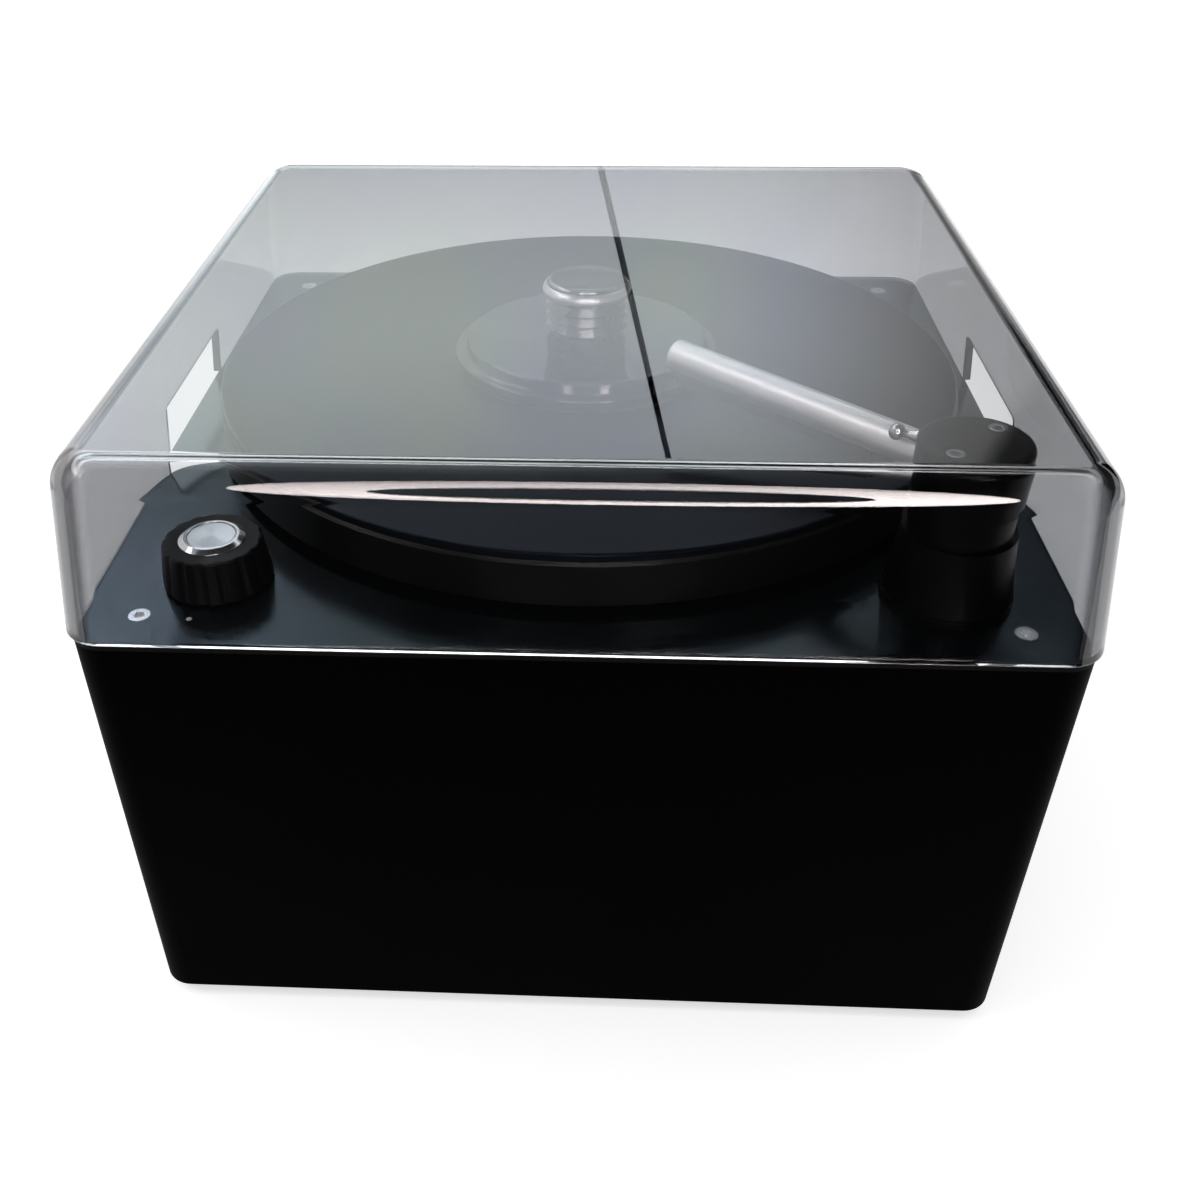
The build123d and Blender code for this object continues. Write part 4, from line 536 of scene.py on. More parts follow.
# The grip is left satin from the tool.
satin = finish("satin_turned_acetal")
place = add(satin, "TexCoord")
feed = add(satin, "TexNoise", {"Scale": 1 / (6 * mm), "Detail": 2.0}, [("Vector", place, "Object")])
gloss = add(satin, "MapRange", {"To Min": 0.25, "To Max": 0.3}, [("Value", feed, "Fac")])
resin = add(
    satin, "BsdfPrincipled",
    {"Base Color": linear("#09090a"), "Specular IOR Level": 0.8, "Coat Weight": 1.0, "Coat Roughness": 0.12},
    [("Roughness", gloss, "Result")],
)
add(satin, "OutputMaterial", links=[("Surface", resin, "BSDF")])
grip_stations = [
    (4.2, 24.0), (4.2, 20.0), (6.1, 20.0), (6.1, 11.2), (13.5, 11.2), (13.2, 12.4), (14.8, 14.4),
]
for low in (14.6, 18.8, 23.0):
    grip_stations += [
        (16.7, low), (16.9, low + 0.3), (15.1, low + 3.0), (15.0, low + 3.3), (15.2, low + 3.8),
    ]
grip_stations += [(15.2, 27.6), (4.2, 27.6), (4.2, 24.0)]
grip = turned("clamp_grip_barrel", platter_axis, grip_stations, 128, mat_z)
soften(grip, 0.12, 2, 60)
fit(grip, satin, "record_clamp", "gloss_black", "clamp_grip")

# The collar is bare aluminium, turned and left satin, with a polished bead round the badge.
bare = finish("satin_turned_aluminium")
place = add(bare, "TexCoord")
feed = add(bare, "TexNoise", {"Scale": 1 / (4 * mm), "Detail": 2.0}, [("Vector", place, "Object")])
gloss = add(bare, "MapRange", {"To Min": 0.34, "To Max": 0.42}, [("Value", feed, "Fac")])
metal = add(
    bare, "BsdfPrincipled", {"Base Color": linear("#d9dadb"), "Metallic": 1.0},
    [("Roughness", gloss, "Result")],
)
add(bare, "OutputMaterial", links=[("Surface", metal, "BSDF")])
collar = turned(
    "clamp_collar", platter_axis,
    [
        (12.0, 27.3), (16.0, 27.3), (17.2, 27.6), (17.8, 28.3), (18.0, 29.2), (17.8, 30.1),
        (17.2, 30.9), (16.6, 31.5), (16.1, 31.8), (16.0, 30.6), (12.0, 30.6), (12.0, 27.3),
    ],
    128, mat_z,
)
soften(collar, 0.2, 2, 50)
fit(collar, bare, "record_clamp", "gloss_black")

bead_metal = finish("polished_aluminium_bead")
place = add(bead_metal, "TexCoord")
feed = add(bead_metal, "TexNoise", {"Scale": 1 / (4 * mm)}, [("Vector", place, "Object")])
gloss = add(bead_metal, "MapRange", {"To Min": 0.08, "To Max": 0.14}, [("Value", feed, "Fac")])
metal = add(
    bead_metal, "BsdfPrincipled", {"Base Color": linear("#9c9ea0"), "Metallic": 1.0},
    [("Roughness", gloss, "Result")],
)
add(bead_metal, "OutputMaterial", links=[("Surface", metal, "BSDF")])
bead = turned(
    "badge_bead", platter_axis,
    [
        (14.3, 30.6), (15.6, 30.6), (15.6, 32.0), (15.45, 32.5), (15.2, 32.85), (14.9, 33.05),
        (14.6, 33.15), (14.35, 33.1), (14.3, 32.8), (14.3, 30.6),
    ],
    128, mat_z,
)
soften(bead, 0)
fit(bead, bead_metal, "record_clamp", "gloss_black")

# The badge is lacquered black and bare of any marks.
lacquer = finish("lacquered_badge")
place = add(lacquer, "TexCoord")
pool = add(lacquer, "TexNoise", {"Scale": 1 / (14 * mm)}, [("Vector", place, "Object")])
gloss = add(lacquer, "MapRange", {"To Min": 0.05, "To Max": 0.1}, [("Value", pool, "Fac")])
resin = add(
    lacquer, "BsdfPrincipled", {"Base Color": linear("#0c0c0d"), "Specular IOR Level": 0.4},
    [("Roughness", gloss, "Result")],
)
add(lacquer, "OutputMaterial", links=[("Surface", resin, "BSDF")])
badge = turned(
    "domed_badge", platter_axis,
    [
        (14.2, 30.6), (14.2, 32.5), (14.0, 32.8), (13.5, 33.1), (11.0, 33.5), (8.0, 33.7),
        (5.0, 33.88), (2.5, 33.97), (0.6, 34.0),
    ],
    base=mat_z,
)
soften(badge, 0)
fit(badge, lacquer, "record_clamp", "gloss_black", "clamp_badge")

# ================================================================== vacuum tower and arm
# Column, sleeve and head are turned aluminium in a fine matt black; the arm is a drawn tube
# of bare aluminium, brushed along its length, with a soft lip each side of its slot.
tower = (125.0, -124.0)
matt = finish("matt_black_anodised_aluminium")
place = add(matt, "TexCoord")
blast = add(matt, "TexNoise", {"Scale": 1 / (0.5 * mm), "Detail": 2.0}, [("Vector", place, "Object")])
wear = add(matt, "TexNoise", {"Scale": 1 / (15 * mm), "Detail": 5.0}, [("Vector", place, "Object")])
gloss = add(matt, "MapRange", {"To Min": 0.3, "To Max": 0.38}, [("Value", wear, "Fac")])
bump = add(matt, "Bump", {"Strength": 0.2, "Distance": 0.02 * mm}, [("Height", blast, "Fac")])
oxide = add(
    matt, "BsdfPrincipled", {"Base Color": linear("#040405"), "Specular IOR Level": 0.12},
    [("Roughness", gloss, "Result"), ("Normal", bump, "Normal")],
)
add(matt, "OutputMaterial", links=[("Surface", oxide, "BSDF")])
dress(matt, "tower_column", "arm_sleeve", "head_block", "head_cap")

arm_angle, arm_z = radians(136.3), 223
brushed = finish("brushed_aluminium_tube")
place = add(brushed, "TexCoord")
along = add(
    brushed, "Mapping",
    {
        "vector_type": "TEXTURE", "Location": (tower[0] * mm, tower[1] * mm, arm_z * mm),
        "Rotation": (0, 0, arm_angle),
    },
    [("Vector", place, "Object")],
)
stretch = add(brushed, "Mapping", {"Scale": (0.03, 1, 1)}, [("Vector", along, "Vector")])
lines = add(
    brushed, "TexNoise", {"Scale": 1 / (1.1 * mm), "Detail": 4.0, "Roughness": 0.65},
    [("Vector", stretch, "Vector")],
)
gloss = add(brushed, "MapRange", {"To Min": 0.36, "To Max": 0.55}, [("Value", lines, "Fac")])
tone = add(
    brushed, "MixRGB", {"Color1": linear("#d6d4d3"), "Color2": linear("#eeeded")}, [("Fac", lines, "Fac")]
)
bump = add(brushed, "Bump", {"Strength": 0.35, "Distance": 0.03 * mm}, [("Height", lines, "Fac")])
metal = add(
    brushed, "BsdfPrincipled", {"Metallic": 1.0},
    [("Base Color", tone, "Color"), ("Roughness", gloss, "Result"), ("Normal", bump, "Normal")],
)
add(brushed, "OutputMaterial", links=[("Surface", metal, "BSDF")])
dress(brushed, "arm_tube", "arm_plug")

# Velvet lips: a dull pile that takes the light at its edges.
felt = finish("velvet_lips")
place = add(felt, "TexCoord")
pile = add(felt, "TexNoise", {"Scale": 1 / (0.35 * mm), "Detail": 3.0}, [("Vector", place, "Object")])
bump = add(felt, "Bump", {"Strength": 0.6, "Distance": 0.15 * mm}, [("Height", pile, "Fac")])
fibre = add(
    felt, "BsdfPrincipled", {"Base Color": linear("#17171a"), "Roughness": 0.95, "Sheen Weight": 0.4},
    [("Normal", bump, "Normal")],
)
add(felt, "OutputMaterial", links=[("Surface", fibre, "BSDF")])
dress(felt, "suction_lips")

head_screw_reach = 12.3
across = Vector((-sin(arm_angle), cos(arm_angle), 0)) * head_screw_reach
head_spots = [(tower[0] + across.x * s, tower[1] + across.y * s) for s in (-1, 1)]
# The lifting spring is wound from 1.6 mm wire between the swivel bush and the sleeve.
wire_r, coil_r, turns, coil_low, coil_length = 0.8, 10.8, 6, 163.8, 24.4
bpy.ops.object.select_all(action="DESELECT")
bpy.ops.mesh.primitive_circle_add(
    vertices=12, radius=wire_r * mm, location=(coil_r * mm, 0, coil_low * mm), rotation=(pi / 2, 0, 0)
)
coil = bpy.context.object
coil.name = coil.data.name = "wound_lifting_spring"
bpy.ops.object.transform_apply()
wind = coil.modifiers.new("wind", "SCREW")
wind.angle, wind.screw_offset, wind.iterations = 2 * pi, coil_length / turns * mm, turns
wind.steps = wind.render_steps = 48
bpy.ops.object.modifier_apply(modifier="wind")
bpy.ops.object.mode_set(mode="EDIT")
bpy.ops.mesh.select_all(action="SELECT")
bpy.ops.mesh.fill_holes(sides=0)
bpy.ops.mesh.select_all(action="SELECT")
bpy.ops.mesh.normals_make_consistent(inside=False)
bpy.ops.transform.translate(value=(tower[0] * mm, tower[1] * mm, 0))
bpy.ops.object.mode_set(mode="OBJECT")
fit(coil, zinc, "arm_swivel", "steel", "arm_spring")
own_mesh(coil)

# The head's screws are steel with a dark oxide, which leaves a sheen only at their rims.
oxided = finish("black_oxided_screw_steel")
place = add(oxided, "TexCoord")
scuff = add(oxided, "TexNoise", {"Scale": 1 / (0.7 * mm), "Detail": 3.0}, [("Vector", place, "Object")])
gloss = add(oxided, "MapRange", {"To Min": 0.18, "To Max": 0.3}, [("Value", scuff, "Fac")])
metal = add(
    oxided, "BsdfPrincipled", {"Base Color": linear("#9c9ea1"), "Metallic": 1.0},
    [("Roughness", gloss, "Result")],
)
add(oxided, "OutputMaterial", links=[("Surface", metal, "BSDF")])
head_top, m3_head, m3_shank, m3_length = 233.4, 3.0, 1.5, 10.0
first = countersunk("head_screw", *head_spots[0], head_top, m3_head, m3_shank, m3_length)
soften(first, 0.1, 2)
second = copied(first, head_spots[1][0] - head_spots[0][0], head_spots[1][1] - head_spots[0][1])
fit(joined("countersunk_head_screws", [first, second]), oxided, "vacuum_arm", "steel", "head_screws")

dress(steel, "finger_pin")

# ================================================================== control knob
# Moulded knob with finger flutes; a bevelled steel bezel in its top holds the push button,
# whose face is spun, so that light fans out over it from the middle.
knob = (-125.0, -124.0)
soft_touch = finish("fluted_knob_plastic")
place = add(soft_touch, "TexCoord")
grain = add(soft_touch, "TexNoise", {"Scale": 1 / (0.6 * mm), "Detail": 3.0}, [("Vector", place, "Object")])
bump = add(soft_touch, "Bump", {"Strength": 0.3, "Distance": 0.04 * mm}, [("Height", grain, "Fac")])
gloss = add(soft_touch, "MapRange", {"To Min": 0.3, "To Max": 0.4}, [("Value", grain, "Fac")])
plastic = add(
    soft_touch, "BsdfPrincipled", {"Base Color": linear("#060607"), "Specular IOR Level": 0.16},
    [("Roughness", gloss, "Result"), ("Normal", bump, "Normal")],
)
add(soft_touch, "OutputMaterial", links=[("Surface", plastic, "BSDF")])
knob_sides, flute_sides = 192, 12
flute_root, knob_radius, knob_middle = 16, 18, 187
fluted = turned(
    "fluted_knob", knob,
    [
        (3.0, 187.5), (9.7, 187.5), (9.7, 195.0), (17.0, 195.0), (18.0, 187.4), (19.0, 179.8),
        (14.5, 179.8), (14.5, 184.8), (3.0, 184.8), (3.0, 187.5),
    ],
    knob_sides,
)
knob_centre = (knob[0] * mm, knob[1] * mm, knob_middle * mm)


def in_flute(vertex):
    """Whether a vertex lies on the column of a flute that is being cut."""
    x, y = vertex.co.x - knob_centre[0], vertex.co.y - knob_centre[1]
    step = round(degrees(atan2(y, x)) / (360 / knob_sides)) % flute_sides
    return hypot(x, y) > flute_root * mm and step in (column, flute_sides - column)


for column, cut in ((0, 0.7), (1, 0.62), (2, 0.38)):
    pick(fluted, in_flute, "VERT")
    ratio = 1 - cut / knob_radius
    bpy.ops.transform.resize(value=(ratio, ratio, 1), center_override=knob_centre)
    bpy.ops.object.mode_set(mode="OBJECT")
soften(fluted, 0.8, 4, 50)
fit(fluted, soft_touch, "selector_knob", "knob_black", "control_knob")

# Spun steel: fine rings and a fan of light from the middle.
spun = finish("spun_stainless_steel")
place = add(spun, "TexCoord")
centred = add(spun, "Mapping", {"Location": (-knob[0] * mm, -knob[1] * mm, 0)}, [("Vector", place, "Object")])
rings = add(
    spun, "TexWave",
    {
        "wave_type": "RINGS", "rings_direction": "Z", "Scale": 1 / (1.6 * mm), "Distortion": 1.5,
        "Detail": 3.0,
        "Detail Scale": 4.0,
    },
    [("Vector", centred, "Vector")],
)
gloss = add(spun, "MapRange", {"To Min": 0.24, "To Max": 0.34}, [("Value", rings, "Fac")])
around = add(spun, "Tangent", {"direction_type": "RADIAL", "axis": "Z"})
metal = add(
    spun, "BsdfPrincipled", {"Base Color": linear("#e2e4e6"), "Metallic": 1.0, "Anisotropic": 0.7},
    [("Roughness", gloss, "Result"), ("Tangent", around, "Tangent")],
)
add(spun, "OutputMaterial", links=[("Surface", metal, "BSDF")])

# Polished steel: a bright ring that mirrors the lights.
mirror = finish("polished_stainless_steel")
place = add(mirror, "TexCoord")
haze = add(mirror, "TexNoise", {"Scale": 1 / (2 * mm), "Detail": 3.0}, [("Vector", place, "Object")])
gloss = add(mirror, "MapRange", {"To Min": 0.12, "To Max": 0.2}, [("Value", haze, "Fac")])
metal = add(
    mirror, "BsdfPrincipled", {"Base Color": linear("#f4f5f6"), "Metallic": 1.0},
    [("Roughness", gloss, "Result")],
)
add(mirror, "OutputMaterial", links=[("Surface", metal, "BSDF")])
bezel = turned(
    "bevelled_bezel", knob,
    [
        (1.5, 187.5), (9.6, 187.5), (9.6, 195.0), (11.4, 195.0), (11.4, 195.4), (9.5, 196.6),
        (8.5, 196.6), (8.5, 188.9), (1.5, 188.9), (1.5, 187.5),
    ],
)
soften(bezel, 0.12, 2, 20)
fit(bezel, mirror, "selector_knob", "chrome", "button_bezel")
button_stations = [(8.25, 191.9), (8.25, 196.5), (7.8, 196.5), (4.0, 196.42), (0.4, 196.38)]
button = turned("spun_button", knob, button_stations)
soften(button, 0.25, 3, 40)
fit(button, spun, "button", "chrome", "push_button")

# ================================================================== dust cover
# Vacuum formed from 3.5 mm smoke tinted acrylic: four leaning sides, a rounded brim round
# the top, and a cut-out in each side wall to take hold of it. Its edges are polished.
acrylic = finish("smoke_tinted_acrylic")
place = add(acrylic, "TexCoord")
draw = add(acrylic, "TexNoise", {"Scale": 1 / (120 * mm), "Detail": 1.0}, [("Vector", place, "Object")])
tone = add(
    acrylic, "MixRGB", {"Color1": linear("#cccdd0"), "Color2": linear("#d1d1d2")}, [("Fac", draw, "Fac")]
)
# The round upright corners and side brims are tinted darker, most of all in front: painted shade that stands
# in for the dark surroundings they refract. x * x * (1 - x * x) of the normal is 0 on the flat sides.
facing = add(acrylic, "NewGeometry")
facing = add(acrylic, "SeparateXYZ", links=[("Vector", facing, "Normal")])
aside = add(acrylic, "Math", {"operation": "MULTIPLY"}, [(0, facing, "X"), (1, facing, "X")])
ahead = add(acrylic, "Math", {"operation": "SUBTRACT", 0: 1.0}, [(1, aside, "Value")])
painted_corner_shade = add(acrylic, "Math", {"operation": "MULTIPLY"}, [(0, aside, "Value"), (1, ahead, "Value")])
painted_corner_shade = add(acrylic, "MapRange", {"From Min": 0.02, "From Max": 0.12}, [("Value", painted_corner_shade, "Value")])
depth = add(acrylic, "SeparateXYZ", links=[("Vector", place, "Object")])
depth = add(acrylic, "MapRange", {"From Min": 130 * mm, "From Max": -60 * mm}, [("Value", depth, "Y")])
painted_corner_shade = add(acrylic, "Math", {"operation": "MULTIPLY"}, [(0, painted_corner_shade, "Result"), (1, depth, "Result")])
# Mixes #646568 into the tint on that mask: painted shade on the corners.
tone = add(
    acrylic, "MixRGB", {"Color2": linear("#646568")}, [("Fac", painted_corner_shade, "Value"), ("Color1", tone, "Color")]
)
clear = add(
    acrylic, "BsdfPrincipled", {"Roughness": 0.0, "IOR": 1.49, "Transmission Weight": 1.0},
    [("Base Color", tone, "Color")],
)
lamp_path = add(acrylic, "LightPath")
dark_or_soft = add(
    acrylic, "Math", {"operation": "MAXIMUM"},
    [(0, lamp_path, "Is Shadow Ray"), (1, lamp_path, "Is Diffuse Ray")],
)
passed = add(acrylic, "BsdfTransparent", {"Color": linear("#e2e3e4")})
both = add(acrylic, "MixShader", links=[(0, dark_or_soft, "Value"), (1, clear, "BSDF"), (2, passed, "BSDF")])
add(acrylic, "OutputMaterial", links=[("Surface", both, "Shader")])

foot_x, foot_y, top_x, top_y, cover_h = 339, 334, 326, 321, 62
corner_r, brim, sheet = 15, 11.26, 3.5
notch_w, notch_h, notch_r, cutter_x = 80, 20.5, 2.0, 400
bpy.ops.object.select_all(action="DESELECT")
bpy.ops.mesh.primitive_cube_add(size=1, location=(0, 0, (deck_z + cover_h / 2) * mm))
cover = bpy.context.object
cover.name = cover.data.name = "formed_dust_cover"
bpy.ops.transform.resize(value=(foot_x * mm, foot_y * mm, cover_h * mm))
bpy.ops.object.transform_apply()
pick(cover, faces_up)
lean = (top_x / foot_x, top_y / foot_y, 1)
bpy.ops.transform.resize(value=lean, center_override=(0, 0, (deck_z + cover_h) * mm))
bpy.ops.object.mode_set(mode="OBJECT")


def upright(edge):
    """Whether an edge of the cover rises from its foot to its top."""
    low, high = (cover.data.vertices[i].co for i in edge.vertices)
    return abs(low.z - high.z) > cover_h / 2 * mm


pick(cover, upright, "EDGE")
bpy.ops.mesh.bevel(offset=corner_r * mm, segments=12, affect="EDGES")
bpy.ops.object.mode_set(mode="OBJECT")
pick(cover, faces_up)
bpy.ops.mesh.region_to_loop()
bpy.ops.mesh.bevel(offset=brim * mm, segments=16, affect="EDGES")
bpy.ops.object.mode_set(mode="OBJECT")
pick(cover, lambda face: face.normal.z < -0.9)
bpy.ops.mesh.delete(type="FACE")
bpy.ops.object.mode_set(mode="OBJECT")
wall = cover.modifiers.new("wall", "SOLIDIFY")
wall.thickness, wall.offset, wall.use_even_offset = sheet * mm, -1, True
bpy.ops.object.modifier_apply(modifier="wall")
# The lower edge is sawn level, where it stands on the top plate.
for vertex in cover.data.vertices:
    if vertex.co.z < (deck_z + sheet) * mm:
        vertex.co.z = deck_z * mm
bpy.ops.mesh.primitive_cube_add(size=1, location=(0, 0, deck_z * mm))
cutter = bpy.context.object
bpy.ops.transform.resize(value=(cutter_x * mm, notch_w * mm, 2 * notch_h * mm))
bpy.ops.object.transform_apply()


def upper_long(edge):
    """Whether an edge of the cutter runs along x at its top."""
    low, high = (cutter.data.vertices[i].co for i in edge.vertices)
    return min(low.z, high.z) > deck_z * mm and abs(low.x - high.x) > foot_x * mm


pick(cutter, upper_long, "EDGE")
bpy.ops.mesh.bevel(offset=notch_r * mm, segments=5, affect="EDGES")
bpy.ops.object.mode_set(mode="OBJECT")
only(cover)
notch = cover.modifiers.new("notches", "BOOLEAN")
notch.operation, notch.object, notch.solver = "DIFFERENCE", cutter, "EXACT"
bpy.ops.object.modifier_apply(modifier="notches")
bpy.data.objects.remove(cutter)
soften(cover, 0.5, 3, 35)
fit(cover, acrylic, "lid", "clear_cover", "dust_cover")

# ================================================================== floor and light
# A plain pale table and background. Gloss sees a studio instead: a bright wall behind, a
# window far left, a dark front, a dim ceiling with a strip light, and the lights below.
pale = finish("pale_table_top")
path = add(pale, "LightPath")
seen = add(pale, "Math", {"operation": "MAXIMUM"}, [(0, path, "Is Camera Ray"), (1, path, "Is Glossy Ray")])
seen = add(pale, "Math", {"operation": "MAXIMUM"}, [(0, seen, "Value"), (1, path, "Is Transmission Ray")])
lit = add(pale, "BsdfDiffuse", {"Color": linear("#f6f6f6")})
glow = add(pale, "Emission", {"Color": linear("#ffffff"), "Strength": 0.57})
white = add(pale, "AddShader", links=[(0, lit, "BSDF"), (1, glow, "Emission")])
plain = add(pale, "BsdfDiffuse", {"Color": linear("#e6e6e6")})
both = add(pale, "MixShader", links=[(0, seen, "Value"), (1, plain, "BSDF"), (2, white, "Shader")])
add(pale, "OutputMaterial", links=[("Surface", both, "Shader")])
bpy.ops.object.select_all(action="DESELECT")
floor_x, floor_y, floor_middle = 30, 15.42, 7.29
bpy.ops.mesh.primitive_plane_add(size=1, location=(0, floor_middle, 0))
table = bpy.context.object
table.name = table.data.name = "pale_floor"
bpy.ops.transform.resize(value=(floor_x, floor_y, 1))
bpy.ops.object.transform_apply()
table.data.materials.append(pale)

studio = bpy.data.worlds.new("studio")
studio.use_nodes = True
studio.node_tree.nodes.clear()
smooth = {"interpolation_type": "SMOOTHSTEP"}
path = add(studio, "LightPath")
around = add(studio, "TexCoord")
toward = add(studio, "SeparateXYZ", links=[("Vector", around, "Generated")])
# The window at the far left also widens the wall beside it.
window = add(
    studio, "MapRange", {**smooth, "From Min": -0.45, "From Max": -0.7, "To Min": 0.0, "To Max": 0.5},
    [("Value", toward, "X")],
)
leaned = add(studio, "Math", {"operation": "ADD"}, [(0, toward, "Y"), (1, window, "Result")])
behind = add(
    studio, "MapRange", {**smooth, "From Min": -0.02, "From Max": 0.14, "To Min": 0.01, "To Max": 1.0},
    [("Value", leaned, "Value")],
)
# The wall, brighter to the left, fades from the horizon up and stops at a slanting edge.
leftward = add(
    studio, "MapRange", {**smooth, "From Min": 0.06, "From Max": 0.34, "To Min": 1.68, "To Max": 0.33},
    [("Value", toward, "X")],
)
lifted = add(studio, "Math", {"operation": "ADD"}, [(0, toward, "Z"), (1, window, "Result")])
risen = add(
    studio, "MapRange", {**smooth, "From Min": 0.22, "From Max": 0.42, "To Min": 0.3, "To Max": 1.0},
    [("Value", lifted, "Value")],
)
far_left = add(
    studio, "MapRange", {**smooth, "From Min": -0.22, "From Max": -0.36, "To Min": 0.0, "To Max": 3.3},
    [("Value", toward, "X")],
)
high = add(
    studio, "MapRange", {**smooth, "From Min": 0.46, "From Max": 0.54},
    [("Value", toward, "Z")],
)
above = add(
    studio, "Math", {"operation": "MULTIPLY_ADD", 1: -2.0}, [(0, window, "Result"), (2, high, "Result")]
)
above = add(studio, "Math", {"operation": "MAXIMUM", 1: 0.0}, [(0, above, "Value")])
leftward = add(
    studio, "Math", {"operation": "MULTIPLY_ADD"},
    [(0, far_left, "Result"), (1, above, "Value"), (2, leftward, "Result")],
)
horizon = add(
    studio, "MapRange", {**smooth, "From Min": 0.05, "From Max": 0.2, "To Min": 1.0, "To Max": 0.3},
    [("Value", toward, "Z")],
)
risen = add(studio, "Math", {"operation": "MAXIMUM"}, [(0, risen, "Result"), (1, horizon, "Result")])
ceiling = add(
    studio, "MapRange", {**smooth, "From Min": 0.59, "From Max": 0.65, "To Min": 1.0, "To Max": 0.32},
    [("Value", toward, "Z")],
)
slope = add(studio, "Math", {"operation": "MULTIPLY_ADD", 1: 0.5}, [(0, toward, "Z"), (2, toward, "X")])
shaded = add(
    studio, "MapRange", {**smooth, "From Min": 0.5, "From Max": 0.52, "To Min": 1.0, "To Max": 0.06},
    [("Value", slope, "Value")],
)
mirrored = behind
for part in (leftward, shaded, risen, ceiling):
    mirrored = add(studio, "Math", {"operation": "MULTIPLY"}, [(0, mirrored, 0), (1, part, 0)])
# The strip light runs from left to right at one height and is weaker on the right.
off_strip = add(studio, "Math", {"operation": "SUBTRACT", 1: 0.71}, [(0, toward, "Z")])
off_strip = add(studio, "Math", {"operation": "ABSOLUTE"}, [(0, off_strip, "Value")])
strip = add(
    studio, "MapRange", {**smooth, "From Min": 0.03, "From Max": 0.07, "To Min": 7.0, "To Max": 0.0},
    [("Value", off_strip, "Value")],
)
strip_end = add(
    studio, "MapRange", {**smooth, "From Min": 0.2, "From Max": 0.34, "To Min": 1.0, "To Max": 0.35},
    [("Value", toward, "X")],
)
strip = add(studio, "Math", {"operation": "MULTIPLY"}, [(0, strip, "Result"), (1, strip_end, "Result")])
strip = add(studio, "Math", {"operation": "MULTIPLY"}, [(0, strip, "Value"), (1, behind, "Result")])
mirrored = add(studio, "Math", {"operation": "ADD"}, [(0, mirrored, "Value"), (1, strip, "Value")])
# The camera sees white and diffuse rays a little less, while gloss sees the studio.
seen = add(
    studio, "Math", {"operation": "MAXIMUM"}, [(0, path, "Is Camera Ray"), (1, path, "Is Transmission Ray")]
)
level_of = add(studio, "MapRange", {"To Min": 0.62, "To Max": 1.0}, [("Value", seen, "Value")])
strength = add(
    studio, "Mix", {"data_type": "FLOAT"},
    [(0, path, "Is Glossy Ray"), (2, level_of, "Result"), (3, mirrored, "Value")],
)
# What gloss sees has a slight cast: cool and drifting, neutral to the right, warm at the window.
drift = add(studio, "TexNoise", {"Scale": 6.0, "Detail": 1.0}, [("Vector", around, "Generated")])
drift = add(studio, "MapRange", {"From Min": 0.35, "From Max": 0.65}, [("Value", drift, "Fac")])
cool = add(
    studio, "MixRGB", {"Color1": linear("#ebf2ff"), "Color2": linear("#effaf5")}, [("Fac", drift, "Result")]
)
neutral = add(
    studio, "MapRange", {**smooth, "From Min": 0.1, "From Max": 0.3},
    [("Value", toward, "X")],
)
cool = add(
    studio, "MixRGB", {"Color2": linear("#f8f8f8")}, [("Fac", neutral, "Result"), ("Color1", cool, "Color")]
)
warmth = add(
    studio, "MixRGB", {"Color2": linear("#ffe9e4")}, [("Fac", window, "Result"), ("Color1", cool, "Color")]
)
cast = add(
    studio, "MixRGB", {"Color1": linear("#ffffff")},
    [("Fac", path, "Is Glossy Ray"), ("Color2", warmth, "Color")],
)
sky = add(studio, "Background", links=[("Color", cast, "Color"), ("Strength", strength, "Result")])
add(studio, "OutputWorld", links=[("Surface", sky, "Background")])
bpy.context.scene.world = studio


def soft_light(name, place, aim, width, depth, brightness, colour):
    """A soft light of a given surface brightness, where 1 renders white."""
    data = bpy.data.lights.new(name, "AREA")
    data.shape, data.size, data.size_y = "ELLIPSE", width, depth
    data.energy = brightness * pi * (pi / 4 * width * depth)
    data.color = linear(colour)[:3]
    lamp = bpy.data.objects.new(name, data)
    lamp.location = place
    lamp.rotation_euler = (Vector(aim) - Vector(place)).to_track_quat("-Z", "Y").to_euler()
    bpy.context.scene.collection.objects.link(lamp)
    return lamp


left = soft_light("left_light", (-1.8, -0.3, 1.9), (0, 0, 0.1), 1.2, 1.2, 2.6, "#ffffff")
left.visible_glossy = False

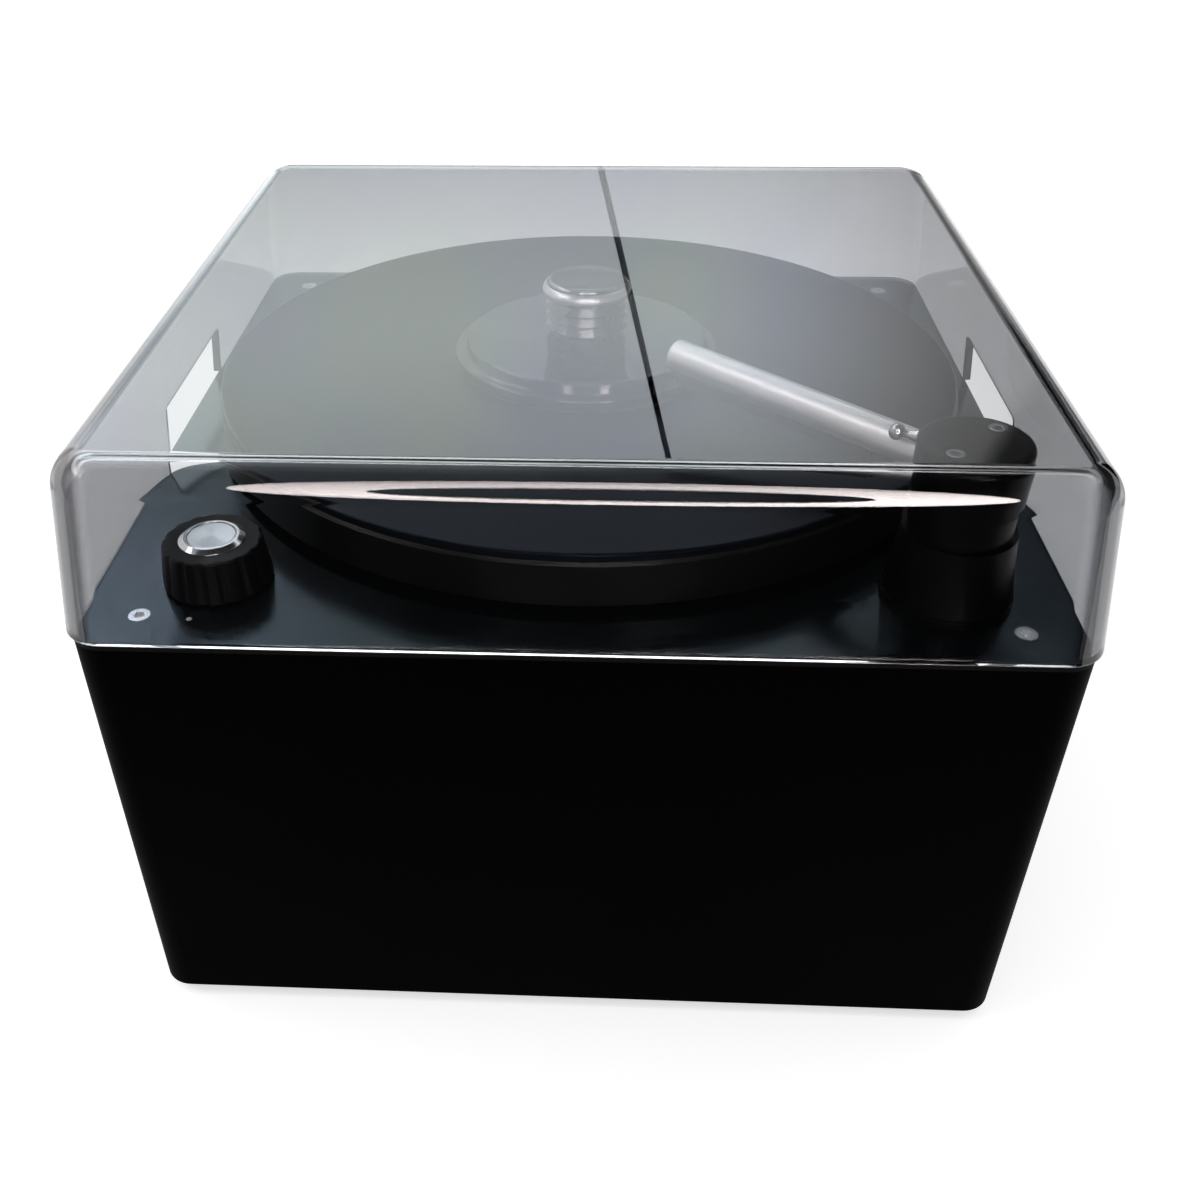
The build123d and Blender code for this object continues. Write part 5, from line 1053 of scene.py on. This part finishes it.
# A large round light in front, with a hole for the eye to look through: it draws the two
# bright lines on the lid's front edge and the bars on the clamp's ribs.
glow = finish("lit_diffuser")
place = add(glow, "TexCoord")
height = add(glow, "SeparateXYZ", links=[("Vector", place, "Object")])
power = add(
    glow, "MapRange", {"From Min": 0.3, "From Max": 0.8, "To Min": 19.0, "To Max": 9.0},
    [("Value", height, "Z")],
)
rightward = add(
    glow, "MapRange", {"From Min": -0.3, "From Max": 0.35, "To Min": 0.85, "To Max": 1.35},
    [("Value", height, "X")],
)
power = add(glow, "Math", {"operation": "MULTIPLY"}, [(0, power, "Result"), (1, rightward, "Result")])
tube = add(glow, "Emission", {"Color": linear("#fff3f0")}, [("Strength", power, "Value")])
add(glow, "OutputMaterial", links=[("Surface", tube, "Emission")])
tip, reach, lid_edge = radians(31), 700, Vector((22, -155, 235))
outer_x, outer_y, hole_x, hole_y = 335, 412, 215, 242
hole_shift = (1 * mm, -55 * mm, 0)
middle = (lid_edge + Vector((0, -cos(tip), sin(tip))) * reach) * mm
bpy.ops.object.select_all(action="DESELECT")
bpy.ops.mesh.primitive_circle_add(vertices=128, radius=1, location=(0, 0, 0))
ring = bpy.context.object
ring.name = ring.data.name = "front_light_ring"
bpy.ops.transform.resize(value=(outer_x * mm, outer_y * mm, 1))
bpy.ops.object.transform_apply()
bpy.ops.object.mode_set(mode="EDIT")
bpy.ops.mesh.select_mode(type="VERT")
bpy.ops.mesh.select_all(action="SELECT")
bpy.ops.mesh.extrude_region_move(TRANSFORM_OT_translate={"value": hole_shift})
bpy.ops.transform.resize(value=(hole_x / outer_x, hole_y / outer_y, 1), center_override=hole_shift)
bpy.ops.object.mode_set(mode="OBJECT")
ring.rotation_euler = (pi / 2 - tip, 0, 0)
ring.location = middle
bpy.ops.object.transform_apply()
ring.data.materials.append(glow)
ring.visible_camera = ring.visible_diffuse = ring.visible_shadow = False

# A thin dark stand behind the object, which only the gloss shows.
stand = finish("dark_stand")
paint = add(stand, "BsdfDiffuse", {"Color": linear("#0a0c10")})
add(stand, "OutputMaterial", links=[("Surface", paint, "BSDF")])
bpy.ops.object.select_all(action="DESELECT")
rod_r, rod_length, rod_middle, rod_lean = 4.2, 700, (81 * mm, 1200 * mm, 850 * mm), atan2(0.262, 1.0)
bpy.ops.mesh.primitive_cylinder_add(vertices=24, radius=rod_r * mm, depth=rod_length * mm, location=(0, 0, 0))
rod = bpy.context.object
rod.name = rod.data.name = "light_stand"
rod.location = rod_middle
bpy.ops.object.transform_apply(location=False)
rod.rotation_euler = (0, rod_lean, 0)
bpy.ops.object.transform_apply()
rod.data.materials.append(stand)
rod.visible_camera = rod.visible_diffuse = rod.visible_shadow = False
